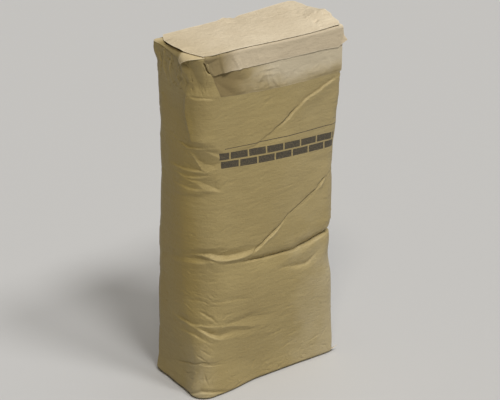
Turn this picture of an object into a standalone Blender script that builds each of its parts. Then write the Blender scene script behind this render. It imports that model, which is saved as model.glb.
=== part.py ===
"""Block-bottom paper valve sack of cement, standing upright on its lower end.

Metres, +Z up. The origin is the middle of the lower end, on the floor. X runs along the sack's
width and Y through its depth, and the broad front faces -Y. The filling valve is at the upper
end, on the -X side.
"""

import math

import bmesh
import bpy

# Overall size of the filled sack, with every sheet on it
HEIGHT = 0.600
END_WIDTH = 0.276
END_DEPTH = 0.1375

# Paper, and the air left between two layers that lie on each other
PAPER = 0.0005
LAYER_GAP = 0.0003

# The filled tube: square-edged at its ends, softer and rounder between them
END_CORNER_RADIUS = 0.008
BODY_CORNER_RADIUS = 0.032
VALVE_CORNER_RADIUS = 0.052
FOLDED_CORNER_RADIUS = 0.030
SQUARED_CORNER_START = 0.040
SQUARED_CORNER_END = 0.012
BODY_SWELL = 0.0020
BELLY = 0.0050
VALVE_SIDE_BELLY = 0.0018
END_EDGE_RADIUS = 0.004
LOWER_END_ZONE = 0.010
LOWER_SWELL_LENGTH = 0.160
UPPER_END_ZONE = 0.080
UPPER_SWELL_LENGTH = 0.120

# The powder has settled and pushes the lower body out, most at this height
SETTLED_BULGE = 0.0045
SETTLED_HEIGHT = 0.140
SETTLED_TOP = 0.360

# Above its square base the sack leans a little to the far end
LEAN = 0.003
LEAN_START = 0.030
LEAN_END = 0.200

# The far end face leans out further towards the top and is bowed there
FAR_FACE_LEAN = 0.0035
FAR_FACE_BOW = 0.0045

# The buckle that runs round the tube below mid-height
WAIST_HEIGHT = 0.250
WAIST_DEPTH = 0.0038
WAIST_SPREAD = 0.012
WAIST_SLANT = -0.09
WAIST_SLANT_SPREAD = 0.090

# The tube's turned-in ends leave an oblong mouth under each cover sheet
END_LIP = 0.034

# Sheets at the upper end
FLAP_OVERLAP = 0.020
FLAP_BEND_RADIUS = 0.002
UNDER_FLAP_DROP = 0.076
OUTER_FLAP_DROP = 0.034
FLAP_LEFT_AT_TOP = -0.119
FLAP_LEFT_SLANT = 0.45
FLAP_RIGHT = 0.1435
COVER_LEFT = -0.125
COVER_LEFT_BOW = 0.004
COVER_RIGHT = 0.1435
COVER_HALF_DEPTH = 0.0683
COVER_CORNER_CUT = 0.006

# The flattened paper sleeve that lines the filling valve
SLEEVE_LENGTH = 0.090
SLEEVE_WIDTH = 0.092
SLEEVE_THICKNESS = 0.0013
SLEEVE_MOUTH_X = -0.1335
SLEEVE_CENTRE_Y = 0.004

# Cover sheet under the lower end
BASE_COVER_WIDTH = 0.268
BASE_COVER_DEPTH = 0.128

# How finely the tube and the powder are divided
CORNER_STEPS = 6
WIDE_FACE_STEPS = 9
NARROW_FACE_STEPS = 4
BODY_STEP = 0.020

# Heights and depths that follow from the layers
TUBE_BOTTOM = PAPER + LAYER_GAP
SLEEVE_STACK = SLEEVE_THICKNESS + 2 * LAYER_GAP
FLAP_STACK = 2 * PAPER + 3 * LAYER_GAP
TUBE_TOP = HEIGHT - PAPER - max(SLEEVE_STACK, FLAP_STACK)
TUBE_FRONT = END_DEPTH / 2 - FLAP_STACK
TUBE_HALF_WIDTH = END_WIDTH / 2 - LAYER_GAP
POWDER_INSET = PAPER + LAYER_GAP + 0.0002


def smooth(value, start, end):
    """0 below start, 1 above end, and an even S-curve between them."""
    share = min(1.0, max(0.0, (value - start) / (end - start)))
    return share * share * (3.0 - 2.0 * share)


def body_share(z):
    """How far the section at height z has swollen from the square ends to the soft body."""
    lower = smooth(z, LOWER_END_ZONE, LOWER_END_ZONE + LOWER_SWELL_LENGTH)
    upper_start = HEIGHT - UPPER_END_ZONE - UPPER_SWELL_LENGTH
    return lower * (1.0 - smooth(z, upper_start, HEIGHT - UPPER_END_ZONE))


def settled_bulge(z):
    """How far the settled powder pushes the broad faces out at height z."""
    rise = smooth(z, 0.0, SETTLED_HEIGHT)
    return SETTLED_BULGE * rise * (1.0 - smooth(z, SETTLED_HEIGHT, SETTLED_TOP))


def section_points(z, inset):
    """The tube's outline at height z, as XY points going round from the front's left end.

    inset draws the whole outline inwards. Every section has the same number of points.
    """
    share = body_share(z)
    waist = WAIST_DEPTH * math.exp(-(((z - WAIST_HEIGHT) / WAIST_SPREAD) ** 2))
    upper = smooth(z, HEIGHT / 2, HEIGHT - UPPER_END_ZONE)
    half_x = TUBE_HALF_WIDTH - waist / 2 - inset
    half_y = TUBE_FRONT + BODY_SWELL * share + settled_bulge(z) - waist - inset
    plain = END_CORNER_RADIUS + (BODY_CORNER_RADIUS - END_CORNER_RADIUS) * share
    folded = max(plain, FOLDED_CORNER_RADIUS * upper)
    valve_corner = END_CORNER_RADIUS + (VALVE_CORNER_RADIUS - END_CORNER_RADIUS) * share
    valve_corner = max(valve_corner, folded)
    squared = smooth(z, HEIGHT - SQUARED_CORNER_START, HEIGHT - SQUARED_CORNER_END)
    back_folded = folded + (plain - folded) * squared
    lean = LEAN * smooth(z, LEAN_START, LEAN_END)
    corners = (
        (-1, -1, math.pi, max(valve_corner - inset, 0.001)),
        (1, -1, 1.5 * math.pi, max(plain - inset, 0.001)),
        (1, 1, 0.0, max(plain - inset, 0.001)),
        (-1, 1, 0.5 * math.pi, max(back_folded - inset, 0.001)),
    )
    arcs = []
    for side_x, side_y, start, radius in corners:
        reach = half_x + (FAR_FACE_LEAN * upper if side_x > 0 else 0.0)
        centre_x = lean + side_x * (reach - radius)
        centre_y = side_y * (half_y - radius)
        for step in range(CORNER_STEPS + 1):
            angle = start + 0.5 * math.pi * step / CORNER_STEPS
            arcs.append((centre_x + radius * math.cos(angle), centre_y + radius * math.sin(angle)))
    per_corner = CORNER_STEPS + 1
    points = []
    for corner in range(4):
        arc = arcs[corner * per_corner:(corner + 1) * per_corner]
        after = arcs[((corner + 1) % 4) * per_corner]
        points += arc
        steps = WIDE_FACE_STEPS if corner % 2 == 0 else NARROW_FACE_STEPS
        for step in range(1, steps):
            along = step / steps
            x = arc[-1][0] + (after[0] - arc[-1][0]) * along
            y = arc[-1][1] + (after[1] - arc[-1][1]) * along
            swell = math.sin(math.pi * along)
            if corner % 2 == 0:
                y += math.copysign(BELLY * share * swell, y)
            elif x > lean:
                x += FAR_FACE_BOW * upper * swell
            else:
                x -= VALVE_SIDE_BELLY * share * swell
            points.append((x, y))
    return points


def section_heights():
    """Heights of the sections, lowest first, closer together round the waist."""
    start = TUBE_BOTTOM + END_EDGE_RADIUS
    end = TUBE_TOP - END_EDGE_RADIUS
    count = round((end - start) / BODY_STEP)
    even = [start + (end - start) * step / count for step in range(count + 1)]
    near_waist = [WAIST_HEIGHT + WAIST_SPREAD * offset for offset in (-1.5, -0.75, 0.0, 0.75, 1.5)]
    apart = [z for z in even if abs(z - WAIST_HEIGHT) > 2.0 * WAIST_SPREAD]
    return sorted(apart + near_waist)


def end_rings(face_z, direction, inset, mouth_inset):
    """Rings that turn the wall over one end, from the wall to the mouth, as (z, inset)."""
    radius = END_EDGE_RADIUS
    face = face_z - direction * inset
    rings = []
    for step in range(1, 4):
        angle = 0.5 * math.pi * step / 3
        drop = radius * (1.0 - math.sin(angle))
        rings.append((face - direction * drop, inset + radius * (1.0 - math.cos(angle))))
    rings.append((face, inset + mouth_inset))
    return rings


def sack_rings(inset, mouth_inset):
    """Every ring of the sack's wall, from the lower mouth to the upper one."""
    lower = end_rings(TUBE_BOTTOM, -1.0, inset, mouth_inset)
    upper = end_rings(TUBE_TOP, 1.0, inset, mouth_inset)
    wall = [(z, inset) for z in section_heights()]
    rings = []
    for z, ring_inset in lower[::-1] + wall + upper:
        shape_z = min(max(z, TUBE_BOTTOM), TUBE_TOP)
        slant = WAIST_SLANT * math.exp(-(((z - WAIST_HEIGHT) / WAIST_SLANT_SPREAD) ** 2))
        rings.append([(x, y, z + slant * x) for x, y in section_points(shape_z, ring_inset)])
    return rings


def link(obj, material):
    """Puts a finished object in the sack's collection with its material."""
    obj.data.materials.clear()
    obj.data.materials.append(material)
    sack.objects.link(obj)
    return obj


def loft(name, rings, capped, material):
    """One skin through rings of equally many points, closed at its two ends if capped."""
    bm = bmesh.new()
    loops = [[bm.verts.new(point) for point in ring] for ring in rings]
    for below, above in zip(loops, loops[1:]):
        for index in range(len(below)):
            following = (index + 1) % len(below)
            bm.faces.new((below[index], below[following], above[following], above[index]))
    if capped:
        bm.faces.new(loops[0][::-1])
        bm.faces.new(loops[-1])
    mesh = bpy.data.meshes.new(name)
    bm.to_mesh(mesh)
    bm.free()
    mesh.shade_smooth()
    mesh.set_sharp_from_angle(angle=math.radians(35))
    return link(bpy.data.objects.new(name, mesh), material)


def thicken(obj, thickness, offset):
    """Gives an open surface the thickness of paper, to one side of it."""
    solidify = obj.modifiers.new("paper_thickness", "SOLIDIFY")
    solidify.thickness = thickness
    solidify.offset = offset
    solidify.use_even_offset = True


def flap_over_front(name, layer, drop, material):
    """A sheet that lies on the upper end and folds down over the front by drop.

    layer counts the sheets that lie under it. Its left edge slants to the right as it falls.
    """
    lift = LAYER_GAP + layer * (PAPER + LAYER_GAP)
    top_z = TUBE_TOP + lift
    front_y = -(TUBE_FRONT + lift)
    bend = FLAP_BEND_RADIUS + lift
    profile = [(front_y + FLAP_OVERLAP, top_z)]
    for step in range(5):
        angle = 0.5 * math.pi * step / 4
        profile.append((front_y + bend * (1.0 - math.sin(angle)), top_z - bend * (1.0 - math.cos(angle))))
    profile.append((front_y, top_z - drop))
    bm = bmesh.new()
    rows = []
    for y, z in profile:
        left = FLAP_LEFT_AT_TOP + FLAP_LEFT_SLANT * (top_z - z)
        rows.append([bm.verts.new((x, y, z)) for x in (left, FLAP_RIGHT)])
    for above, below in zip(rows, rows[1:]):
        bm.faces.new((above[0], below[0], below[1], above[1]))
    mesh = bpy.data.meshes.new(name)
    bm.to_mesh(mesh)
    bm.free()
    flap = link(bpy.data.objects.new(name, mesh), material)
    thicken(flap, PAPER, 1.0)
    return flap


def flat_sheet(name, outline, bottom_z, material):
    """A flat sheet of paper with this XY outline, lying with its underside at bottom_z."""
    curve = bpy.data.curves.new(name, "CURVE")
    curve.dimensions = "2D"
    curve.fill_mode = "BOTH"
    curve.extrude = PAPER / 2
    spline = curve.splines.new("POLY")
    spline.points.add(len(outline) - 1)
    for point, (x, y) in zip(spline.points, outline):
        point.co = (x, y, 0.0, 1.0)
    spline.use_cyclic_u = True
    sheet = bpy.data.objects.new(name, curve)
    sheet.location.z = bottom_z + PAPER / 2
    return link(sheet, material)


def cover_outline():
    """Outline of the upper cover sheet: hollow at the valve, bowed at the far end."""
    cut = COVER_CORNER_CUT
    half = COVER_HALF_DEPTH
    steps = 8
    right = []
    left = []
    for step in range(steps + 1):
        y = -half + cut + (2 * half - 2 * cut) * step / steps
        swell = math.sin(math.pi * step / steps)
        right.append((COVER_RIGHT + FAR_FACE_BOW * swell, y))
        left.append((COVER_LEFT + COVER_LEFT_BOW * swell, -y))
    front = [(COVER_LEFT + cut, -half), (COVER_RIGHT - cut, -half)]
    back = [(COVER_RIGHT - cut, half), (COVER_LEFT + cut, half)]
    return front + right + back + left


def rectangle(width, depth, corner_cut):
    """A rectangle about the origin with its corners cut off."""
    half_x, half_y, cut = width / 2, depth / 2, corner_cut
    return [
        (-half_x + cut, -half_y), (half_x - cut, -half_y), (half_x, -half_y + cut), (half_x, half_y - cut),
        (half_x - cut, half_y), (-half_x + cut, half_y), (-half_x, half_y - cut), (-half_x, -half_y + cut),
    ]


def paper_colour(name, colour, roughness):
    """A plain material in the colour of one of the sack's papers, or of the powder."""
    material = bpy.data.materials.new(name)
    material.use_nodes = True
    shader = material.node_tree.nodes["Principled BSDF"]
    shader.inputs["Base Color"].default_value = (*colour, 1.0)
    shader.inputs["Roughness"].default_value = roughness
    shader.inputs["Metallic"].default_value = 0.0
    return material


def build_paper_tube():
    """The sack's wall: a paper tube, turned in over the powder at both ends."""
    tube = loft("paper_tube", sack_rings(0.0, END_LIP), False, tube_paper)
    thicken(tube, PAPER, -1.0)


def build_cement_fill():
    """The powder, which fills the tube and gives the sack its shape."""
    loft("cement_fill", sack_rings(POWDER_INSET, END_LIP), True, powder)


def build_flaps():
    """The two closing sheets that come down over the front, the longer one underneath."""
    flap_over_front("under_flap", 0, UNDER_FLAP_DROP, cover_paper)
    flap_over_front("outer_flap", 1, OUTER_FLAP_DROP, cover_paper)


def build_valve_sleeve():
    """A flattened paper sleeve under the cover sheet, open at the sack's -X end."""
    bm = bmesh.new()
    bmesh.ops.create_cube(bm, size=1.0)
    ends = [face for face in bm.faces if abs(face.normal.x) > 0.5]
    bmesh.ops.delete(bm, geom=ends, context="FACES_ONLY")
    bmesh.ops.scale(bm, vec=(SLEEVE_LENGTH, SLEEVE_WIDTH, SLEEVE_THICKNESS), verts=bm.verts)
    mesh = bpy.data.meshes.new("valve_sleeve")
    bm.to_mesh(mesh)
    bm.free()
    sleeve = bpy.data.objects.new("valve_sleeve", mesh)
    rest_z = TUBE_TOP + LAYER_GAP + SLEEVE_THICKNESS / 2
    sleeve.location = (SLEEVE_MOUTH_X + SLEEVE_LENGTH / 2, SLEEVE_CENTRE_Y, rest_z)
    link(sleeve, cover_paper)
    thicken(sleeve, PAPER, -1.0)


def build_cover_sheets():
    """The sheets that close the two ends, one on top and one underneath."""
    flat_sheet("top_cover_sheet", cover_outline(), HEIGHT - PAPER, cover_paper)
    base = rectangle(BASE_COVER_WIDTH, BASE_COVER_DEPTH, COVER_CORNER_CUT)
    flat_sheet("base_cover_sheet", base, 0.0, cover_paper)


for old in list(bpy.data.objects):
    bpy.data.objects.remove(old)
sack = bpy.data.collections.new("cement_sack")
bpy.context.scene.collection.children.link(sack)
tube_paper = paper_colour("tube_paper", (0.30, 0.24, 0.12), 0.62)
cover_paper = paper_colour("cover_paper", (0.55, 0.46, 0.30), 0.70)
powder = paper_colour("powder", (0.35, 0.34, 0.32), 0.95)
build_cement_fill()
build_paper_tube()
build_flaps()
build_valve_sleeve()
build_cover_sheets()
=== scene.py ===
"""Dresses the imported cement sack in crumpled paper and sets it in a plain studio.

The sack's paper is one surface over two distances, u round the tube and v up its wall. Every
layer on the wall is laid on that surface: the tube's skin with its folds, the closing flaps and
the valve's sleeve. The cover sheets lie on the two ends. Metres, except where a comment or a
docstring says millimetres, as for the folds and swells.
"""

import itertools
import logging
import math
from dataclasses import dataclass
from enum import Enum

import bpy
import numpy as np
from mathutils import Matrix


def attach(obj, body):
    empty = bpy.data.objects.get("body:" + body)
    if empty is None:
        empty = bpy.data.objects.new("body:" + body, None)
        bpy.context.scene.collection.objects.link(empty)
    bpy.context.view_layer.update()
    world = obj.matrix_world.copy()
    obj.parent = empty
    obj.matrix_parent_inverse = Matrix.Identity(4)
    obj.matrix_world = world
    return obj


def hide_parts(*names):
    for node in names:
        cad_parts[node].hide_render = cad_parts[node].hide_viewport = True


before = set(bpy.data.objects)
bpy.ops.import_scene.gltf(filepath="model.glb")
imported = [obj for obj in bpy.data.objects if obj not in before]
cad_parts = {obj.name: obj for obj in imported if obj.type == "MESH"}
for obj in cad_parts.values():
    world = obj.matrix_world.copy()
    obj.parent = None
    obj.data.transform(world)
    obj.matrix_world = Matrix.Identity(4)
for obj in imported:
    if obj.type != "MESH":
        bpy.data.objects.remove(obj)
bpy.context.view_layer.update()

logging.basicConfig(level=logging.INFO, format="%(message)s")
log = logging.getLogger("cement_sack")

MM = 0.001
ROOT = "root"
PAPER = 0.0005
TINY = 1e-6
SHARP_FROM = math.radians(50)
BEND_SMOOTH_ROUNDS = 2

# The values that most of a noise texture lies between
MIDDLE = (0.3, 0.7)

Array = np.ndarray
Span = tuple[float, float]
Triple = tuple[float, float, float]
Path = tuple[Triple, ...]
Colour = tuple[float, float, float, float]
Socket = bpy.types.NodeSocket


class Slot(Enum):
    """The record's material slots."""

    TUBE_PAPER = "tube_paper"
    COVER_PAPER = "cover_paper"
    POWDER = "powder"


class Axis(Enum):
    """The object's own axes, with the number of each one's output."""

    X = 0
    Y = 1
    Z = 2


def smooth(value: Array, start: float, end: float) -> Array:
    """An even S-curve.

    Args:
        value: Where it is wanted.
        start: It is 0 up to here.
        end: It is 1 from here on.

    Returns:
        The curve's values, from 0 to 1.
    """
    share = np.clip((value - start) / (end - start), 0.0, 1.0)
    return share * share * (3.0 - 2.0 * share)


def within(value: Array, low: float, high: float, fade: float) -> Array:
    """A soft window.

    Args:
        value: Where it is wanted.
        low: Lower end of the full part.
        high: Upper end of the full part.
        fade: Width of the fall to 0 beyond each end.

    Returns:
        1 from low to high, falling to 0 at either side.
    """
    return smooth(value, low - fade, low) * (1.0 - smooth(value, high, high + fade))


def partly(share: Array, least: float) -> Array:
    """Runs evenly from least, where a share is 0, to 1, where it is 1."""
    return least + (1.0 - least) * share


class GradientNoise:
    """Smooth noise of position, the same on every run."""

    LATTICE = 256
    GAIN = 1.7

    def __init__(self, seed: int) -> None:
        """Draws the noise's lattice.

        Args:
            seed: Picks one noise among many.
        """
        draw = np.random.default_rng(seed)
        slopes = draw.normal(size=(self.LATTICE, 3))
        self.order = draw.permutation(self.LATTICE)
        self.slopes = slopes / np.linalg.norm(slopes, axis=1, keepdims=True)

    def at(self, points: Array, size: Triple) -> Array:
        """Noise at each point.

        Args:
            points: N points.
            size: Length of one swell along each axis.

        Returns:
            N values, nearly all from -1 to 1.
        """
        cell = points / np.asarray(size)
        low = np.floor(cell).astype(int)
        part = cell - low
        fade = part**3 * (part * (part * 6.0 - 15.0) + 10.0)
        total = np.zeros(len(points))
        for corner in itertools.product((0, 1), repeat=3):
            spot = (low + corner) % self.LATTICE
            pick = self.order[spot[:, 0]]
            pick = self.order[(pick + spot[:, 1]) % self.LATTICE]
            pick = self.order[(pick + spot[:, 2]) % self.LATTICE]
            weight = np.prod(np.where(corner, fade, 1.0 - fade), axis=1)
            total += weight * np.einsum("ij,ij->i", part - corner, self.slopes[pick])
        return total * self.GAIN


@dataclass(frozen=True)
class Swell:
    """A broad place where the powder pushes the paper out, or leaves it slack, in millimetres."""

    across: float
    up: float
    half_width: float
    half_height: float
    height: float

    def rise(self, across: Array, up: Array) -> Array:
        """How far the paper moves outwards.

        Args:
            across: Distances round the tube, one for each point.
            up: Distances up the wall, likewise.

        Returns:
            The swell's height at each point.
        """
        away = ((across - self.across) / self.half_width) ** 2 + ((up - self.up) / self.half_height) ** 2
        return self.height * np.clip(1.0 - away, 0.0, 1.0) ** 2


SWELLS = (
    Swell(-275, 562, 36, 24, 1.8),
    Swell(-275, 545, 42, 50, 5.4),
    Swell(-275, 500, 42, 44, 4.0),
    Swell(-275, 436, 42, 46, -2.8),
    Swell(-275, 380, 40, 46, -2.4),
    Swell(-275, 240, 50, 62, 3.2),
    Swell(-275, 150, 50, 62, 4.0),
    Swell(-275, 592, 40, 24, -1.4),
    Swell(-275, 70, 40, 36, -1.2),
    Swell(-200, -4, 96, 62, 5.8),
    Swell(-262, -4, 34, 40, 3.2),
    Swell(-100, -6, 84, 72, 8.4),
    Swell(40, -8, 96, 60, -0.6),
    Swell(-146, -4, 40, 50, 3.2),
    Swell(137, 425, 34, 46, 3.2),
    Swell(137, 474, 30, 30, 2.2),
    Swell(137, 186, 40, 36, -4.4),
    Swell(137, 80, 34, 60, -1.2),
    Swell(20, 320, 120, 90, 1.6),
    Swell(-30, 190, 120, 60, 1.2),
)


@dataclass(frozen=True)
class SackForm:
    """The filled sack's plain form, without folds.

    u runs round the tube from the middle of the front, positive to the right. v runs up the
    wall, then over the rounded edge and inwards over the end. Where a span's name ends in from,
    something comes in from its first place to its second, and where it ends in to, it fades out.
    """

    height: float = 0.600
    flat_half_width: float = 0.138
    flat_half_depth: float = 0.06875
    half_width: float = 0.1377
    half_depth: float = 0.06685
    bottom: float = 0.0008
    top: float = 0.5976
    upper_edge: float = 0.004
    valve_edge: float = 0.010
    lower_edge: float = 0.007
    end_corner: float = 0.008
    corner_gain: float = 0.024
    valve_corner_gain: float = 0.046
    valve_side_belly: float = 0.006
    folded_corner: float = 0.040
    swell: float = 0.002
    belly: float = 0.005
    settled: float = 0.0045
    lean: float = 0.003
    far_lean: float = 0.0035
    far_bow: float = 0.0045
    corner_flare: float = 0.007
    front_tuck: float = 0.004
    front_rise: float = 0.002
    back_sag: float = 0.0035
    low_corner: float = 0.024
    low_corner_to: Span = (0.080, 0.200)
    least_radius: float = 0.001
    valve_span: Span = (-0.250, -0.150)
    valve_fade: float = 0.025
    body_from: Span = (0.010, 0.170)
    body_to: Span = (0.400, 0.520)
    settled_from: Span = (0.0, 0.140)
    settled_to: Span = (0.140, 0.360)
    squared_below_top: Span = (0.040, 0.012)
    lean_from: Span = (0.030, 0.200)
    flare_from: Span = (0.532, 0.596)
    flare_inset_to: Span = (0.004, 0.020)
    flare_span: Span = (-0.172, -0.134)
    flare_fade: float = 0.030
    swell_inset_to: Span = (0.006, 0.024)
    tuck_from: Span = (0.535, 0.598)
    front_tuck_to: Span = (-0.070, 0.060)
    front_tuck_from: Span = (0.0, 0.066)
    back_sag_to: Span = (0.040, 0.125)
    back_sag_from: Span = (0.0, 0.068)

    @property
    def girth(self) -> float:
        """Length of the paper once round the tube."""
        return 4.0 * (self.flat_half_width + self.flat_half_depth)

    def edge_path(self, u: Array, v: Array) -> tuple[Array, Array, Array]:
        """Follows the paper up the wall and over both ends.

        Args:
            u: Distance round the tube.
            v: Distance along the path.

        Returns:
            How far the paper is turned over, from -90 to 90 degrees in radians, how far it
            lies inside the wall, and its height.
        """
        at_valve = within(u, *self.valve_span, self.valve_fade)
        upper_edge = self.upper_edge + (self.valve_edge - self.upper_edge) * at_valve
        high = self.top - upper_edge
        low = self.bottom + self.lower_edge
        over_top = np.clip((v - high) / upper_edge, 0.0, math.pi / 2)
        under = np.clip((low - v) / self.lower_edge, 0.0, math.pi / 2)
        inset = upper_edge * (1.0 - np.cos(over_top)) + self.lower_edge * (1.0 - np.cos(under))
        inset = inset + np.maximum(v - high - upper_edge * math.pi / 2, 0.0)
        inset = inset + np.maximum(low - self.lower_edge * math.pi / 2 - v, 0.0)
        z = np.clip(v, low, high) + upper_edge * np.sin(over_top) - self.lower_edge * np.sin(under)
        return over_top - under, inset, z

    def settle_top(self, x: Array, y: Array, z: Array) -> tuple[Array, Array]:
        """How the upper end has settled out of square, at the valve's side.

        Args:
            x: Places along the width.
            y: Places along the depth.
            z: Heights.

        Returns:
            How far each point moves back, and how far it moves up.
        """
        high = smooth(z, *self.tuck_from)
        front_left = (1.0 - smooth(x, *self.front_tuck_to)) * smooth(-y, *self.front_tuck_from) * high
        back_left = (1.0 - smooth(x, *self.back_sag_to)) * smooth(y, *self.back_sag_from) * high
        return self.front_tuck * front_left, self.front_rise * front_left - self.back_sag * back_left

    def at(self, u: Array, v: Array) -> tuple[Array, Array]:
        """Points of the plain form and its outward normals.

        Args:
            u: Distance round the tube, from minus half the girth to half the girth.
            v: Distance up the wall and over the ends.

        Returns:
            Two arrays of N points: places and unit normals.
        """
        u, v = np.broadcast_arrays(np.asarray(u, float), np.asarray(v, float))
        turn, inset, z = self.edge_path(u, v)
        share = smooth(z, *self.body_from) * (1.0 - smooth(z, *self.body_to))
        upper = smooth(z, self.height / 2, self.body_to[1])
        settled = self.settled * smooth(z, *self.settled_from) * (1.0 - smooth(z, *self.settled_to))
        half_x = self.half_width - inset
        half_y = self.half_depth + self.swell * share + settled - inset
        plain = self.end_corner + self.corner_gain * share
        folded = np.maximum(plain, self.folded_corner * upper)
        squared = smooth(z, *(self.height - below for below in self.squared_below_top))
        back_folded = folded + (plain - folded) * squared

        around = np.abs(u)
        left = u < 0
        side = np.where(left, -1.0, 1.0)
        wide_end = self.flat_half_width
        narrow_end = wide_end + 2.0 * self.flat_half_depth
        front = around <= wide_end
        wide = front | (around >= narrow_end)
        along_wide = np.where(front, around, 2.0 * (wide_end + self.flat_half_depth) - around) / wide_end
        along_narrow = np.clip((around - wide_end) / (narrow_end - wide_end), 0.0, 1.0)
        near_front = np.where(wide, front, along_narrow < 0.5)
        front_folded = np.maximum(folded, self.low_corner * (1.0 - smooth(z, *self.low_corner_to)))
        front_folded = np.maximum(front_folded, self.end_corner + self.valve_corner_gain * share)
        radius = np.where(left, np.where(near_front, front_folded, back_folded), plain)
        radius = np.maximum(radius - inset, self.least_radius)
        from_corner = np.where(
            wide, (1.0 - along_wide) * half_x, 2.0 * half_y * np.minimum(along_narrow, 1.0 - along_narrow)
        )
        angle = np.where(from_corner < radius, math.pi / 4 * (1.0 - from_corner / radius), 0.0)
        along = np.where(from_corner < radius, radius - radius * np.sin(angle), from_corner)
        inward = radius - radius * np.cos(angle)
        depth_side = np.where(near_front, -1.0, 1.0)
        x = side * np.where(wide, half_x - along, half_x - inward)
        y = depth_side * np.where(wide, half_y - inward, half_y - along)
        normal_x = side * np.where(wide, np.sin(angle), np.cos(angle))
        normal_y = depth_side * np.where(wide, np.cos(angle), np.sin(angle))

        room = np.maximum(np.where(wide, 2.0 * half_x, 2.0 * half_y) - 2.0 * radius, TINY)
        bow = np.sin(math.pi * np.clip((from_corner - radius) / room, 0.0, 1.0))
        y = y + np.where(wide, depth_side * self.belly * share * bow, 0.0)
        x = x + np.where(~wide & ~left, self.far_bow * upper * bow, 0.0)
        hollow = self.valve_side_belly * share * np.sin(math.pi * along_narrow) ** 2
        x = x - np.where(~wide & left, hollow, 0.0)
        reach = np.where(wide, 1.0 - from_corner / np.maximum(half_x, TINY), 1.0)
        x = x + np.where(left, 0.0, self.far_lean * upper * reach)
        x = x + self.lean * smooth(z, *self.lean_from)

        flare = self.corner_flare * smooth(v, *self.flare_from) * (1.0 - smooth(inset, *self.flare_inset_to))
        flare = flare * within(u, *self.flare_span, self.flare_fade)
        swelling = sum(swell.rise(u / MM, v / MM) for swell in SWELLS) * MM
        swelling = swelling * (1.0 - smooth(inset, *self.swell_inset_to))
        x = x + (flare + swelling) * normal_x
        y = y + (flare + swelling) * normal_y
        back, rise = self.settle_top(x, y, z)
        y = y + back
        z = z + rise
        points = np.stack([x, y, z], -1)
        normals = np.stack([np.cos(turn) * normal_x, np.cos(turn) * normal_y, np.sin(turn)], -1)
        return points, normals


@dataclass(frozen=True)
class Crease:
    """One fold in a sheet, along a line of straight stretches.

    path holds across, up and strength from 0 to 1, in millimetres, drawn from left to right.
    The sheet falls into a groove depth deep, over a distance of above on its upper side and
    below on its lower side. A negative depth makes a ridge. fall is 1 for flat sides with a
    sharp border, and more for hollow ones that run out softly.
    """

    path: Path
    depth: float
    above: float
    below: float
    bluntness: float = 0.3
    fall: float = 1.3

    def press(self, across: Array, up: Array, heights: Array) -> None:
        """Presses the fold into a sheet's heights.

        Args:
            across: Distances across the sheet, one for each point, in millimetres.
            up: Distances up the sheet, likewise.
            heights: The sheet's heights in millimetres, which it changes.
        """
        line = np.asarray(self.path, float)
        reach = max(self.above, self.below)
        near = (across > line[:, 0].min() - reach) & (across < line[:, 0].max() + reach)
        near &= (up > line[:, 1].min() - reach) & (up < line[:, 1].max() + reach)
        spots = np.nonzero(near)[0]
        if len(spots) == 0:
            return
        here = np.stack([across[spots], up[spots]], 1)
        nearest = np.full(len(spots), np.inf)
        strength = np.zeros(len(spots))
        upper_side = np.zeros(len(spots), bool)
        for start, end in zip(line, line[1:]):
            step = end[:2] - start[:2]
            offset = here - start[:2]
            share = np.clip(offset @ step / (step @ step), 0.0, 1.0)
            away = offset - share[:, None] * step
            distance = np.hypot(away[:, 0], away[:, 1])
            closer = distance < nearest
            nearest = np.where(closer, distance, nearest)
            strength = np.where(closer, start[2] + share * (end[2] - start[2]), strength)
            left_of_it = step[0] * offset[:, 1] - step[1] * offset[:, 0] > 0.0
            upper_side = np.where(closer, left_of_it, upper_side)
        blunt = np.sqrt(nearest**2 + self.bluntness**2) - self.bluntness
        width = np.where(upper_side, self.above, self.below) * (0.5 + 0.5 * strength)
        heights[spots] -= self.depth * strength * np.clip(1.0 - blunt / width, 0.0, 1.0) ** self.fall


@dataclass(frozen=True)
class Pleat:
    """Folds that lie over one another: the sheet runs straight from one line to the next.

    Each line goes from left to right and holds across, up and height, in millimetres. The lines
    are listed from the top one down, and the first and the last have no height. gain multiplies
    the heights. The pleat comes in over a distance of fade at both ends of its first line.
    """

    lines: tuple[Path, ...]
    gain: float = 1.0
    fade: float = 6.0
    least_drop: float = 0.01

    def press(self, across: Array, up: Array, heights: Array) -> None:
        """Adds the pleat to a sheet's heights.

        Args:
            across: Distances across the sheet, one for each point, in millimetres.
            up: Distances up the sheet, likewise.
            heights: The sheet's heights in millimetres, which it changes.
        """
        tables = [np.asarray(line, float).T for line in self.lines]
        left, right = tables[0][0].min(), tables[0][0].max()
        spots = np.nonzero((across > left) & (across < right))[0]
        here, level = across[spots], up[spots]
        rise = np.zeros(len(spots))
        knots = [
            (np.interp(here, table[0], table[1]), np.interp(here, table[0], table[2])) for table in tables
        ]
        for (high, from_height), (low, to_height) in zip(knots, knots[1:]):
            share = np.clip((high - level) / np.maximum(high - low, self.least_drop), 0.0, 1.0)
            straight = from_height + (to_height - from_height) * share
            rise = np.where((level < high) & (level >= low), straight, rise)
        heights[spots] += self.gain * rise * within(here, left + self.fade, right - self.fade, self.fade)


@dataclass(frozen=True)
class Bend:
    """A straight fold: the sheet to the right of a line, drawn in millimetres, leaves its plane."""

    start: Span
    end: Span
    slope: float

    def press(self, across: Array, up: Array, heights: Array) -> None:
        """Bends a sheet's heights.

        Args:
            across: Distances across the sheet, one for each point, in millimetres.
            up: Distances up the sheet, likewise.
            heights: The sheet's heights in millimetres, which it changes.
        """
        step = np.subtract(self.end, self.start)
        beyond = (step[1] * (across - self.start[0]) - step[0] * (up - self.start[1])) / np.hypot(*step)
        heights += self.slope * np.maximum(beyond, 0.0)


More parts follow.
